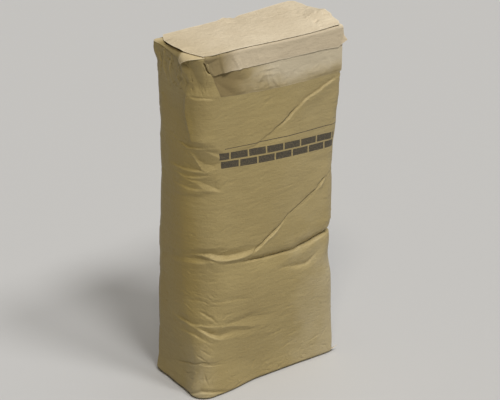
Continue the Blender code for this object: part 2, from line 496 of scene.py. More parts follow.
@dataclass(frozen=True)
class CrumpleZone:
    """A patch of small creases at chance places, in millimetres and degrees.

    count creases have their middle in the patch. Each has a kink there, of up to kink to either
    side. A share of them, groove_share, are grooves, and the rest are ridges that are ridge_gain
    times as high.
    """

    across: Span
    up: Span
    count: int
    length: Span
    depth: Span
    tilt: Span
    seed: int
    reach: Span = (2.0, 5.0)
    kink: float = 14.0
    groove_share: float = 0.65
    ridge_gain: float = 0.8
    bluntness: float = 0.2

    def creases(self) -> list[Crease]:
        """Draws the zone's creases, each of two stretches with a kink between them.

        Returns:
            The creases.
        """
        draw = np.random.default_rng(self.seed)
        made = []
        for _ in range(self.count):
            middle = np.array([draw.uniform(*self.across), draw.uniform(*self.up)])
            half = draw.uniform(*self.length) / 2
            angles = np.radians(draw.uniform(*self.tilt) + draw.uniform(-self.kink, self.kink, 2))
            start = middle - half * np.array([math.cos(angles[0]), math.sin(angles[0])])
            end = middle + half * np.array([math.cos(angles[1]), math.sin(angles[1])])
            depth = draw.uniform(*self.depth)
            depth = depth * (1.0 if draw.random() < self.groove_share else -self.ridge_gain)
            above, below = draw.uniform(*self.reach, 2)
            path = ((*start, 0.0), (*middle, 1.0), (*end, 0.0))
            made.append(Crease(path, depth, above, below, self.bluntness))
        return made


# Pleats and folds of the front, the valve's side and the corners, in millimetres. Most of the
# pleats' points were picked on the photograph and worked out from there by a program.
WAIST = Pleat((
    ((-300, 236, 0), (-254, 242, 0), (-219, 252, 0), (-185, 261, 0), (-147, 269, 0), (-101, 270, 0),
     (-74, 264, 0), (-55, 269, 0), (-36, 267, 0), (-23, 263, 0), (120, 266, 0), (300, 262, 0),
     (551, 258, 0)),
    ((-300, 214, 0), (-258, 227, -0.7), (-221, 240, -0.8), (-192, 249, -0.8), (-164, 258, -1.3),
     (-148, 259, -1.6), (-127, 260, -1.9), (-110, 256, -2.2), (-86, 252, -2.3), (-63, 252, -2.1),
     (-45, 253, -1.5), (-34, 256, -0.8), (-23, 261, 0), (120, 264, 0), (300, 260, 0), (551, 257, 0)),
    ((-300, 212, 0), (-258, 225, -0.7), (-221, 238, -0.8), (-193, 247, -0.9), (-163, 256, -0.9),
     (-147, 257, -0.5), (-137, 256, 0.4), (-127, 254, 1.4), (-115, 250, 2), (-90, 247, 2.3),
     (-76, 246, 2.3), (-60, 245, 1.4), (-47, 247, 0.6), (-35, 249, 0.2), (-17, 249, 0), (24, 244, 0),
     (38, 242, 0), (55, 247, 0), (77, 251, 0), (99, 255, 0), (122, 259, 0), (142, 260, 0), (210, 257, 0),
     (300, 256, 0), (551, 256, 0)),
    ((-300, 211, 0), (-258, 224, -0.7), (-221, 237, -0.8), (-192, 247, -0.9), (-164, 255, -0.9),
     (-147, 256, -0.5), (-137, 255, 0.4), (-127, 253, 1.4), (-115, 249, 2), (-90, 246, 2.3),
     (-76, 245, 2.2), (-60, 244, 1.2), (-46, 244, -0.1), (-34, 240, -0.8), (-17, 240, -0.9),
     (24, 237, -0.9), (39, 235, -0.7), (56, 242, -0.6), (78, 242, -0.9), (100, 246, -0.9),
     (124, 247, -1.2), (142, 247, -1.2), (300, 248, -0.4), (551, 250, 0)),
    ((-300, 208, 0), (-259, 220, -0.5), (-220, 235, -0.5), (-182, 248, -1.2), (-169, 248, -1.8),
     (-148, 250, -2.3), (-138, 249, -1.4), (-127, 249, 0.6), (-117, 247, 1.2), (-102, 240, 0.3),
     (-88, 239, 0), (-74, 237, -0.5), (-59, 235, -1.6), (-41, 232, -2.5), (-21, 230, -3.1),
     (15, 228, -3.3), (40, 227, -2.7), (63, 228, -4.3), (81, 230, -4.7), (103, 234, -4.6),
     (141, 235, -4.4), (180, 236, -3.4), (260, 242, -2.6), (330, 238, -2.2), (430, 243, -2.2),
     (500, 247, -1.6), (551, 240, 0)),
    ((-300, 205, 0), (-258, 215, -0.1), (-220, 229, 0), (-181, 240, 0.2), (-155, 241, 0.5),
     (-137, 244, 0.6), (-123, 246, 1.6), (-111, 242, 0.9), (-102, 237, 0.2), (-89, 236, 0.2),
     (-75, 235, 0), (-59, 233, -1), (-42, 230, -1.8), (-22, 227, -2.3), (14, 224, -2.4), (39, 224, -1.8),
     (61, 220, -1.8), (78, 223, -1.9), (101, 229, -2.3), (131, 230, -3), (180, 231, -1.4), (260, 237, -1),
     (330, 233, -0.8), (430, 238, -0.8), (500, 242, -0.5), (551, 236, 0)),
    ((-300, 200, 0), (-261, 204, 0), (-192, 228, 0), (-148, 231, 0), (-89, 227, 0), (-47, 213, -0.4),
     (2, 208, -0.6), (34, 214, -1), (56, 215, -1.2), (78, 217, -1.3), (101, 223, -1.9), (128, 225, -2.2),
     (180, 222, -1), (551, 228, 0)),
    ((-300, 198, 0), (-262, 202, 0), (-148, 228, 0), (-48, 192, 0), (19, 161, 0), (78, 145, 0),
     (124, 145, 0), (300, 170, 0), (551, 200, 0)),
), 1.8)
WAIST_SIDE = Pleat((
    ((2, 209, 0), (33, 214, 0), (55, 215, 0), (77, 218, 0), (95, 221, 0), (120, 225, 0)),
    ((2, 202, 0), (23, 202, -0.8), (38, 199, -1.6), (56, 195, -2.1), (68, 193, -2.4), (76, 196, -2.4),
     (87, 202, -1.9), (97, 209, -0.8), (114, 212, 0)),
    ((2, 200, 0), (37, 192, 0), (55, 187, 0), (72, 184, 0), (83, 186, 0), (94, 193, 0), (117, 199, 0)),
), 1.3)
CORNER_PLEAT = Pleat((
    ((-222, 449, 0), (-204, 449, 0), (-176, 457, 0), (-140, 457, 0), (-117, 447, 0), (-88, 430, 0)),
    ((-204, 448, 0), (-190, 448, -0.7), (-177, 446, -1.2), (-169, 445, -1.4), (-159, 446, -1.4),
     (-142, 447, -1.2), (-133, 446, -0.5), (-125, 445, 0), (-97, 433, 0)),
    ((-204, 447, 0), (-188, 447, 0), (-175, 444, 0.1), (-158, 444, 0.1), (-141, 445, 0.1), (-125, 443, 0),
     (-97, 432, 0)),
    ((-204, 442, 0), (-173, 438, -0.2), (-163, 437, -0.4), (-157, 434, -0.9), (-152, 427, -1.7),
     (-146, 422, -2.3), (-138, 418, -2.6), (-127, 416, -2.6), (-119, 414, -2.5), (-108, 417, -1.6),
     (-98, 418, -0.6), (-89, 419, 0)),
    ((-204, 440, 0), (-172, 437, 0.1), (-163, 434, 0.1), (-157, 429, 0.1), (-151, 421, 0.2),
     (-145, 412, 0), (-140, 406, -0.3), (-134, 403, 0.2), (-128, 404, 0.2), (-117, 408, 0), (-98, 413, 0),
     (-89, 416, 0)),
    ((-221, 404, 0), (-207, 406, -0.8), (-197, 405, -1.2), (-186, 405, -1.5), (-165, 405, -1.8),
     (-152, 406, -1.6), (-144, 405, -1), (-138, 404, -0.3), (-132, 402, 0.2), (-117, 407, 0),
     (-89, 414, 0)),
    ((-221, 403, 0), (-206, 404, 0), (-195, 404, 0.1), (-174, 403, 0.2), (-144, 403, 0.2),
     (-132, 401, 0.2), (-118, 405, 0), (-89, 412, 0)),
    ((-209, 396, 0), (-187, 395, -0.4), (-180, 393, -1), (-169, 393, -1.5), (-159, 394, -1.6),
     (-146, 396, -1.4), (-136, 397, -0.7), (-128, 398, 0), (-90, 400, 0)),
    ((-209, 392, 0), (-187, 393, 0), (-179, 391, 0), (-158, 391, -0.1), (-146, 392, -0.1), (-136, 395, 0),
     (-90, 395, 0)),
    ((-209, 385, 0), (-177, 389, -0.1), (-168, 389, -0.4), (-158, 387, -0.7), (-146, 387, -1.2),
     (-138, 384, -1.5), (-128, 381, -1.7), (-115, 376, -1.7), (-107, 372, -0.6), (-95, 367, 0)),
    ((-209, 383, 0), (-177, 388, 0), (-168, 386, 0.1), (-158, 384, 0.2), (-150, 382, 0.2),
     (-142, 377, 0.2), (-132, 373, 0.3), (-122, 371, 0.4), (-112, 370, 0.2), (-95, 367, 0)),
    ((-209, 375, 0), (-185, 375, -0.5), (-176, 374, -1), (-165, 373, -1.1), (-157, 373, -1),
     (-148, 374, -0.4), (-140, 375, 0.2), (-132, 373, 0.3), (-112, 369, 0.2), (-95, 366, 0)),
    ((-209, 373, 0), (-184, 373, 0.2), (-164, 370, 0.4), (-152, 371, 0.5), (-132, 371, 0.4),
     (-112, 368, 0.2), (-95, 365, 0)),
    ((-210, 360, 0), (-175, 360, 0), (-154, 360, 0), (-132, 362, 0), (-95, 363, 0)),
), 1.5)
WEDGE_PLEAT = Pleat((
    ((-140, 446, 0), (-117, 445, 0), (-100, 440, 0), (-80, 434, 0)),
    ((-136, 442, 0), (-126, 440, -0.7), (-117, 438, -1.3), (-102, 434, -1.6), (-88, 428, -0.4)),
    ((-136, 441, 0), (-126, 439, 0), (-118, 435, 0.2), (-104, 428, 0.4), (-89, 423, 0)),
    ((-136, 440, 0), (-126, 435, 0), (-119, 425, 0), (-105, 418, 0), (-89, 418, 0)),
), 1.4)
LOW_PLEAT = Pleat((
    ((-222, 132, 0), (-189, 144, 0), (-169, 143, 0), (-103, 140, 0), (-81, 137, 0), (-47, 141, 0),
     (20, 141, 0)),
    ((-216, 131, 0), (-198, 133, -0.8), (-191, 132, -1.3), (-181, 132, -1.7), (-171, 130, -1.8),
     (-161, 130, -1.5), (-151, 132, -0.9), (-113, 131, -0.5), (-97, 130, -0.6), (-80, 129, -1.2),
     (-64, 129, -1.7), (-45, 129, -1.7), (-21, 126, -1.1), (5, 125, 0)),
    ((-216, 129, 0), (-197, 130, 0.1), (-178, 130, 0.2), (-160, 127, 0.1), (-150, 130, 0.2),
     (-113, 129, 0.2), (-80, 124, 0), (-65, 120, 0.2), (-45, 113, 0.4), (-21, 107, 0.3), (6, 111, 0)),
    ((-216, 128, 0), (-179, 127, 0.1), (-160, 126, 0), (-152, 125, -0.5), (-142, 122, -1.4),
     (-131, 118, -2), (-117, 114, -2.4), (-103, 111, -2.6), (-88, 112, -2.1), (-73, 112, -1.6),
     (-57, 109, -1.2), (-40, 106, -0.3), (-20, 104, 0.2), (6, 109, 0)),
    ((-216, 126, 0), (-179, 126, 0), (-160, 125, 0.2), (-151, 122, 0.4), (-141, 119, 0.5),
     (-131, 115, 0.7), (-118, 110, 0.9), (-104, 105, 0.6), (-89, 103, 0.2), (-58, 100, 0), (-19, 98, 0),
     (6, 107, 0)),
    ((-218, 106, 0), (-196, 111, -0.3), (-183, 113, -0.8), (-173, 114, -1.1), (-160, 113, -1.2),
     (-149, 110, -1), (-141, 107, -0.6), (-130, 104, -0.3), (-119, 101, 0), (-73, 94, 0), (8, 87, 0)),
    ((-218, 104, 0), (-195, 110, 0), (-182, 111, 0.1), (-171, 112, 0.2), (-159, 111, 0.2),
     (-149, 107, 0.2), (-140, 104, 0.2), (-119, 98, 0), (-73, 90, 0), (9, 83, 0)),
    ((-219, 91, 0), (-183, 98, 0), (-139, 94, 0), (-117, 88, 0), (-37, 66, 0), (11, 66, 0)),
), 1.7)
FITTED_PLEATS = (WAIST, WAIST_SIDE, CORNER_PLEAT, WEDGE_PLEAT, LOW_PLEAT)
FRONT_FOLDS = (
    Crease(((-42, 246, 0.3), (-35, 252, 0.9), (-23, 259, 1), (-10, 268, 1), (3, 275, 0.9), (17, 284, 0.6),
            (30, 294, 0)), 3.4, 3.6, 2.6),
    Crease(((-112, 261, 0), (-101, 262, 0.9), (-92, 263, 0.9), (-83, 264, 0)), -1, 1.6, 2.4, 0.2),
    Crease(((-64, 235, 0), (-41, 232, 0.7), (-21, 230, 0.8), (15, 227, 0.8), (40, 225.5, 0.8),
            (63, 227, 1), (81, 229, 1), (103, 233, 1), (141, 234, 1), (170, 235, 0)), 3.8, 8.5, 2.2, 0.2),
    Crease(((14, 204, 0), (38, 198, 0.7), (56, 194, 1), (68, 192, 1), (80, 196, 0.8), (94, 206, 0)),
           2, 8, 2.4, 0.3),
    Crease(((-30, 253, 0), (-18, 260, 1), (6, 274, 1), (22, 286, 0)), -1.6, 1.8, 5),
    Crease(((-10, 268, 0), (17, 285, 0.7), (27, 294, 0.8), (55, 307, 1), (89, 324, 0.9), (102, 336, 0.8),
            (128, 348, 0.8), (142, 358, 0.8)), 2.4, 3.2, 30, 0.2, 1.1),
    Crease(((10, 280, 0), (27, 294, 0.7), (55, 307, 0.8), (89, 324, 1), (102, 336, 1), (132, 349, 0.5)),
           1.9, 3, 2.2, 0.2),
    Crease(((34, 292, 0), (60, 305, 0.8), (92, 321, 0.6), (100, 326, 0)), 1.2, 2.4, 2.4, 0.2),
    Crease(((-14, 270, 0), (-2, 276, 1), (8, 284, 0.3), (16, 286, 0)), 1.6, 2.4, 2.4),
    Crease(((86, 318, 0), (97, 325, 1), (108, 338, 0.9), (116, 346, 0)), -2.4, 3, 7),
    Crease(((-77, 430, 0.1), (-36, 433, 0.5), (-6, 445, 0.8), (24, 459, 1), (39, 470, 1), (52, 479, 0.3)),
           2.6, 4.4, 24, 0.2, 1.1),
    Crease(((0, 450, 0), (24, 460, 1), (41, 473, 0.8), (48, 479, 0)), 2.4, 4, 3),
    Crease(((10, 450, 0), (34, 463, 1), (48, 474, 1), (64, 485, 0.9), (95, 496, 0.9), (120, 506, 0.8),
            (137, 512, 0.4)), -2.2, 2.4, 22, 0.2, 1.1),
    Crease(((40, 474, 0), (64, 488, 0.7), (95, 499, 0.8), (122, 510, 0.4)), 1.4, 7, 2.4),
    Crease(((-30, 415, 0), (30, 402, 0.6), (120, 398, 0.3)), 1.6, 34, 34, 1, 1.6),
    Crease(((60, 380, 0), (105, 372, 0.8), (137, 366, 0.2)), 1.8, 16, 24, 0.6, 1.5),
    Crease(((-60, 338, 0), (-20, 330, 0.5), (40, 338, 0)), 1.3, 30, 30, 1, 1.6),
)
CORNER_CRUMPLES = (
    Crease(((-214, 350, 0), (-190, 355, 0.8), (-160, 361, 1), (-134, 367, 0.8), (-110, 371, 0)),
           2, 8, 34, 1.2, 1.4),
)
LOW_CRUMPLES = (
    Crease(((-154, 160, 0), (-146, 156, 0.8), (-126, 148, 1), (-110, 136, 0)), 2, 6, 2.4),
    Crease(((-126, 177, 0), (-118, 176, 0.6), (-86, 172, 1), (-58, 168, 0.6), (-44, 166, 0)), 1.4, 8, 3),
    Crease(((-182, 172, 0), (-154, 179, 1), (-139, 176, 0.6), (-128, 171, 0)), 1.2, 5, 2.4),
    Crease(((-150, 95, 0), (-136, 90, 0.9), (-122, 84, 0)), 1.2, 3, 1.8, 0.2),
    Crease(((-142, 90, 0), (-128, 85, 0.9), (-114, 80, 0)), 1, 3, 1.8, 0.2),
    Crease(((-228, 38, 0), (-174, 56, 0.8), (-146, 64, 1), (-137, 67, 1), (-113, 64, 0.6), (-102, 62, 0)),
           2.4, 5, 1.6, 0.2),
    Crease(((-147, 64, 0), (-128, 63, 1), (-109, 60, 0.6), (-99, 58, 0)), 2.4, 3, 1.8, 0.2),
    Crease(((-158, 84, 0), (-142, 77, 1), (-128, 71, 0)), 1.8, 4, 1.8, 0.2),
    Crease(((-125, 24, 0), (-130, 34, 1), (-136, 48, 0)), 1.8, 3, 3),
    Crease(((-166, 2, 0.3), (-154, 7, 0.8), (-138, 14, 1), (-118, 12, 1), (-98, 6, 0.6), (-86, 3, 0)),
           3, 7, 2.4),
)
TOP_FOLDS = (
    Crease(((-196, 562, 0), (-176, 553, 0.7), (-152, 548, 1), (-124, 547, 1), (-108, 552, 0.6)),
           5.2, 44, 19, 2, 1),
    Crease(((-141, 538, 0.1), (-149, 559, 0.6), (-157, 574, 1), (-167, 589, 1)), 5.6, 13, 26, 1, 1),
    Crease(((-200, 522, 0), (-176, 529, 0.3), (-161, 531, 0.5), (-148, 531, 1), (-135, 530, 1),
            (-119, 530, 0.8), (-108, 528, 0.3), (-100, 526, 0)), 1.5, 3, 1.4, 0.1),
    Crease(((-134, 532, 0), (-137, 538, 1), (-140, 545, 0)), 1.2, 1.6, 2.6, 0.2),
    Crease(((-128, 560, 0), (-127, 572, 1), (-124, 582, 0)), 1.4, 3, 3, 0.3),
    Crease(((-160, 452, 0), (-164, 472, 0.7), (-171, 486, 0.9), (-177, 505, 1), (-174, 527, 0.8)),
           -2.4, 8, 14),
    Crease(((-214, 540, 0.1), (-222, 562, 1), (-215, 584, 0.7)), -1.6, 5, 3),
    Crease(((-214, 536, 0.1), (-200, 552, 1), (-192, 574, 0.7)), -1.8, 3, 6),
    Crease(((-228, 538, 0.1), (-240, 560, 1), (-236, 586, 0.6)), -1.6, 6, 3),
    Crease(((-206, 530, 0.1), (-184, 554, 1), (-176, 580, 0.6)), -2.2, 4, 9),
    Crease(((-252, 548, 0), (-244, 566, 1), (-250, 588, 0.3)), 1.8, 4, 4),
    Crease(((-224, 534, 0), (-206, 546, 1), (-190, 560, 0)), 1.4, 3, 4),
    Crease(((-240, 574, 0), (-226, 580, 1), (-206, 576, 0)), 1.6, 4, 3),
)
HIDDEN_FOLDS = (
    Crease(((140, 560, 0.3), (180, 540, 0.8), (225, 552, 0.5), (270, 560, 0.2)), 2.6, 18, 6),
    Crease(((150, 430, 0), (190, 410, 0.9), (250, 430, 0)), 2, 20, 9),
    Crease(((285, 455, 0.1), (330, 425, 0.8), (380, 398, 0.5), (430, 380, 0)), 2.8, 5, 30),
    Crease(((300, 300, 0), (350, 330, 0.8), (420, 352, 0.6), (500, 380, 0.1)), 2.8, 5, 26),
    Crease(((450, 470, 0.1), (490, 440, 0.9), (545, 425, 0.2)), 2.6, 9, 14),
    Crease(((262, 140, 0), (300, 128, 1), (350, 134, 0)), 3.2, 14, 4),
    Crease(((480, 120, 0), (520, 112, 0.9), (560, 122, 0)), 3, 13, 4),
    Crease(((290, 528, 0.5), (350, 522, 0.6), (430, 524, 0.6), (520, 520, 0.6), (551, 524, 0.3)),
           1.8, 16, 4),
)
CRUMPLE_ZONES = (
    CrumpleZone((-205, -100), (365, 460), 50, (10, 34), (0.2, 0.8), (-26, 16), 11, (1.4, 5)),
    CrumpleZone((-188, -112), (60, 235), 90, (8, 34), (0.15, 0.55), (-36, 10), 12, (1, 3.4)),
    CrumpleZone((-182, -118), (136, 190), 30, (14, 34), (0.25, 0.7), (-34, -18), 28, (1, 2.4)),
    CrumpleZone((-180, -20), (262, 300), 26, (12, 36), (0.15, 0.5), (-12, 24), 13, (1.4, 5)),
    CrumpleZone((-130, 120), (205, 232), 26, (12, 40), (0.2, 0.6), (-8, 14), 14, (1.4, 5)),
    CrumpleZone((-268, -158), (532, 592), 90, (6, 26), (0.4, 1.5), (20, 150), 15, (1, 4.4)),
    CrumpleZone((-156, -108), (536, 590), 26, (8, 24), (0.2, 0.7), (40, 130), 29, (1.2, 4)),
    CrumpleZone((-180, 130), (8, 48), 50, (8, 32), (0.4, 1.2), (-70, 70), 16, (1.2, 4)),
    CrumpleZone((240, 320), (80, 560), 60, (12, 40), (0.6, 2), (-25, 25), 17, (2, 7)),
    CrumpleZone((500, 560), (60, 560), 56, (12, 36), (0.6, 2), (-25, 25), 18, (2, 7)),
    CrumpleZone((130, 400), (225, 275), 36, (12, 36), (0.6, 1.8), (-18, 18), 19, (2, 7)),
    CrumpleZone((-110, 130), (300, 515), 30, (14, 60), (0.3, 0.8), (-10, 30), 20, (1.6, 5)),
    CrumpleZone((120, 150), (60, 520), 34, (8, 26), (0.4, 1.2), (-30, 30), 21, (1.2, 4.4)),
    CrumpleZone((-262, -190), (60, 520), 40, (10, 36), (0.3, 0.9), (-20, 20), 22, (1.6, 5)),
    CrumpleZone((-100, 100), (50, 200), 30, (12, 50), (0.3, 0.8), (-14, 20), 23, (1.6, 5)),
)


UNDER_LOWER_EDGE = (
    (-97, 530.5, 1), (-64, 526, 1), (-10, 521.5, 1), (16, 520, 1), (71, 518.5, 1), (140, 519.5, 1),
)
UNDER_LEFT_EDGE = (
    (-98, 620, 1), (-98, 584, 1), (-104, 575, 1), (-114, 567, 1), (-105, 547, 1), (-97, 530.5, 1),
)
UNDER_RIGHT_EDGE = ((137, 620, 1), (137, 560, 1), (136.5, 519, 1))
UNDER_FOLDS = (
    Pleat((
        ((-140, 604, 0), (-30, 604, 0)),
        ((-140, 586, -5), (-116, 584, -5), (-98, 582, -4), (-84, 580, -1.5), (-70, 578, 0),
         (-30, 578, 0)),
        ((-140, 576, -4), (-116, 571, -3.6), (-98, 568, -2.2), (-88, 564, -0.6), (-78, 559, 0.4),
         (-60, 543, 0.4), (-30, 523, 0)),
        ((-140, 566, -4), (-116, 562, -4.2), (-109, 558, -4.2), (-92, 545, -3.4), (-79, 534, -1.6),
         (-70, 527, 0), (-60, 520, 0)),
        ((-140, 565, -3), (-116, 561, -3), (-110, 551, 0.2), (-99, 530, 0.6), (-80, 516, 0.4),
         (-60, 510, 0)),
        ((-140, 540, 0), (-99, 508, 0), (-60, 502, 0)),
    )),
    Crease(((-100, 572, 0), (-88, 562, 0.8), (-70, 552, 1), (-52, 547, 0.8), (-38, 550, 0)),
           2.4, 14, 12, 1, 1.1),
    Crease(((-41, 526, 0.2), (-52, 537, 0.8), (-60, 548, 0.8)), 1.4, 11, 12, 1, 1.2),
    Crease(((-2, 520, 0.3), (-6, 533, 1), (-10, 546, 0.5)), -1.3, 2, 5, 0.2),
    Crease(((15, 519, 0.3), (4, 534, 1), (0, 547, 0.5)), -1.5, 2, 6, 0.2),
    Crease(((-29, 530, 0.3), (-26, 541, 1), (-18, 550, 0.4)), -1.2, 2, 5, 0.2),
    Crease(((-26, 554, 0.4), (-10, 554, 1), (12, 553, 0.3)), 1.3, 2, 6, 0.2),
    Crease(((-30, 545, 0.2), (-10, 548, 1), (14, 544, 0.2)), -1, 3, 3, 0.2),
    Crease(((-40, 562, 0), (-22, 552, 1), (0, 556, 0.6), (20, 552, 0)), -1.6, 10, 14, 0.6, 1.2),
    Crease(((24, 521, 0.3), (18, 540, 0.8), (14, 556, 0)), 1.2, 3, 8, 0.4),
    Crease(((40, 548, 0), (80, 543, 0.6), (120, 548, 0)), 1.6, 18, 18, 1, 1.5),
    Crease(((60, 534, 0), (100, 530, 0.8), (136, 532, 0.3)), -1.2, 12, 12, 0.8, 1.5),
    Crease(((96, 562, 0), (110, 544, 0.8), (118, 528, 0)), -1, 6, 10, 0.6, 1.4),
)
OUTER_LOWER_EDGE = (
    (-113, 565, 1), (-92, 568, 1), (-64, 567, 1), (16, 566.5, 1), (97, 565, 1), (129, 562.5, 1),
    (144, 573, 1),
)
OUTER_LEFT_EDGE = ((-131, 620, 1), (-131, 600, 1), (-127, 588, 1), (-122, 575, 1), (-113, 565, 1))
OUTER_RIGHT_EDGE = ((137.5, 620, 1), (138, 588, 1), (139.5, 581, 1), (143.5, 573, 1), (143.5, 560, 1))
OUTER_FOLDS = (
    Bend((-94, 600), (-88, 560), -0.13),
    Bend((129, 561), (140, 580), 0.60),
    Crease(((-89, 563, 1), (-94, 581, 1), (-97, 598, 0.8)), -2.4, 3, 12, 0.3, 1.1),
    Crease(((-66, 562, 0.4), (-72, 580, 1), (-82, 598, 0.3)), 1.6, 8, 7),
    Crease(((-58, 562, 0.6), (-66, 578, 1), (-80, 596, 0.3)), -1.6, 5, 9),
    Crease(((-38, 562, 0.4), (-44, 580, 0.9), (-52, 598, 0.2)), 1.2, 8, 8),
    Crease(((-22, 562, 0.3), (-26, 586, 0.6), (-34, 600, 0)), -1, 8, 10),
    Crease(((-30, 590, 0), (10, 584, 0.6), (60, 588, 0)), 1.2, 18, 18, 1, 1.5),
    Crease(((20, 568, 0.4), (48, 578, 0.8), (80, 596, 0)), 1, 6, 14),
)
FLAP_ZONES = (
    CrumpleZone((-96, 130), (520, 562), 40, (10, 40), (0.15, 0.6), (-60, 60), 24, (1.6, 6)),
    CrumpleZone((-40, 30), (522, 560), 16, (8, 24), (0.2, 0.7), (-80, 80), 25, (1.4, 4)),
    CrumpleZone((-120, -30), (566, 596), 24, (10, 28), (0.15, 0.6), (60, 120), 26, (1.6, 5)),
    CrumpleZone((-30, 138), (566, 598), 26, (10, 34), (0.15, 0.6), (-70, 70), 27, (1.6, 6)),
)


def grid_faces(rows: int, columns: int, closed: bool) -> Array:
    """Quads between the points of a grid that is numbered row by row.

    Args:
        rows: Number of rows.
        columns: Number of points in a row.
        closed: Whether each row's last point is joined to its first.

    Returns:
        An array of quads, four point numbers each.
    """
    start = np.arange(columns if closed else columns - 1)
    after = (start + 1) % columns
    base = np.arange(rows - 1)[:, None] * columns
    quads = np.stack([base + start, base + after, base + columns + after, base + columns + start], -1)
    return quads.reshape(-1, 4)


def make_piece(
    name: str, points: Array, quads: Array, triangles: Array | None = None
) -> bpy.types.Object:
    """Makes a mesh object, smooth and linked to the scene.

    Args:
        name: The piece's name.
        points: Its N points.
        quads: Its four-sided faces.
        triangles: Its three-sided faces, if any.

    Returns:
        The new object.
    """
    groups = [quads] if triangles is None else [quads, triangles]
    corners = np.concatenate([group.ravel() for group in groups])
    sides = np.concatenate([np.full(len(group), group.shape[1]) for group in groups])
    mesh = bpy.data.meshes.new(name)
    mesh.vertices.add(len(points))
    mesh.vertices.foreach_set("co", np.asarray(points, np.float32).ravel())
    mesh.loops.add(len(corners))
    mesh.loops.foreach_set("vertex_index", corners.astype(np.int32))
    mesh.polygons.add(len(sides))
    mesh.polygons.foreach_set("loop_start", np.concatenate([[0], np.cumsum(sides)[:-1]]).astype(np.int32))
    mesh.update(calc_edges=True)
    mesh.validate()
    mesh.shade_smooth()
    piece = bpy.data.objects.new(name, mesh)
    bpy.context.scene.collection.objects.link(piece)
    return piece


def apply_modifiers(piece: bpy.types.Object) -> None:
    """Makes a piece's modifiers part of its mesh.

    Args:
        piece: The piece.
    """
    shown = piece.evaluated_get(bpy.context.evaluated_depsgraph_get())
    mesh = bpy.data.meshes.new_from_object(shown)
    piece.modifiers.clear()
    piece.data = mesh


def thicken(piece: bpy.types.Object, thickness: float, offset: float) -> None:
    """Gives an open sheet its thickness.

    Args:
        piece: The sheet.
        thickness: Thickness of the paper.
        offset: 1 to grow outwards, along the faces' normals, and -1 inwards.
    """
    solidify = piece.modifiers.new("paper_thickness", "SOLIDIFY")
    solidify.thickness = thickness
    solidify.offset = offset
    apply_modifiers(piece)
    piece.data.shade_smooth()
    piece.data.set_sharp_from_angle(angle=SHARP_FROM)


def mark_crease_shading_and_wear(piece: bpy.types.Object) -> None:
    """Stores where a piece's paper is bent out or in, as a point value. The paper's material pales the crests
    with it, partly as wear and partly as a painted highlight, and darkens the grooves with it as painted
    shade.

    Args:
        piece: The piece.
    """
    mesh = piece.data
    points = np.zeros(len(mesh.vertices) * 3, np.float32)
    mesh.vertices.foreach_get("co", points)
    points = points.reshape(-1, 3)
    normals = np.zeros(len(mesh.vertices) * 3, np.float32)
    mesh.vertices.foreach_get("normal", normals)
    normals = normals.reshape(-1, 3)
    edges = np.zeros(len(mesh.edges) * 2, np.int32)
    mesh.edges.foreach_get("vertices", edges)
    first, second = edges.reshape(-1, 2).T
    step = points[second] - points[first]
    length = np.maximum(np.linalg.norm(step, axis=1), TINY)
    count = np.bincount(first, minlength=len(points)) + np.bincount(second, minlength=len(points))
    rise = np.bincount(first, -np.einsum("ij,ij->i", step, normals[first]) / length, len(points))
    rise = rise + np.bincount(second, np.einsum("ij,ij->i", step, normals[second]) / length, len(points))
    bend = rise / np.maximum(count, 1)
    for _ in range(BEND_SMOOTH_ROUNDS):
        shared = np.bincount(first, bend[second], len(points)) + np.bincount(second, bend[first], len(points))
        bend = 0.5 * bend + 0.5 * shared / np.maximum(count, 1)
    bend_mask = mesh.attributes.new("crease_bend", "FLOAT", "POINT")
    bend_mask.data.foreach_set("value", bend.astype(np.float32))


def dress(piece: bpy.types.Object, material: bpy.types.Material, slot: Slot, *nodes: str) -> None:
    """Gives a piece its material, its body and the solids that it stands for.

    Args:
        piece: The piece.
        material: Its material.
        slot: The record's slot that its finish comes from; not used.
        nodes: The solids that it replaces.
    """
    piece.data.materials.clear()
    piece.data.materials.append(material)
    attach(piece, ROOT)
    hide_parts(*nodes)
    log.info("%s: %d points, %d faces", piece.name, len(piece.data.vertices), len(piece.data.polygons))


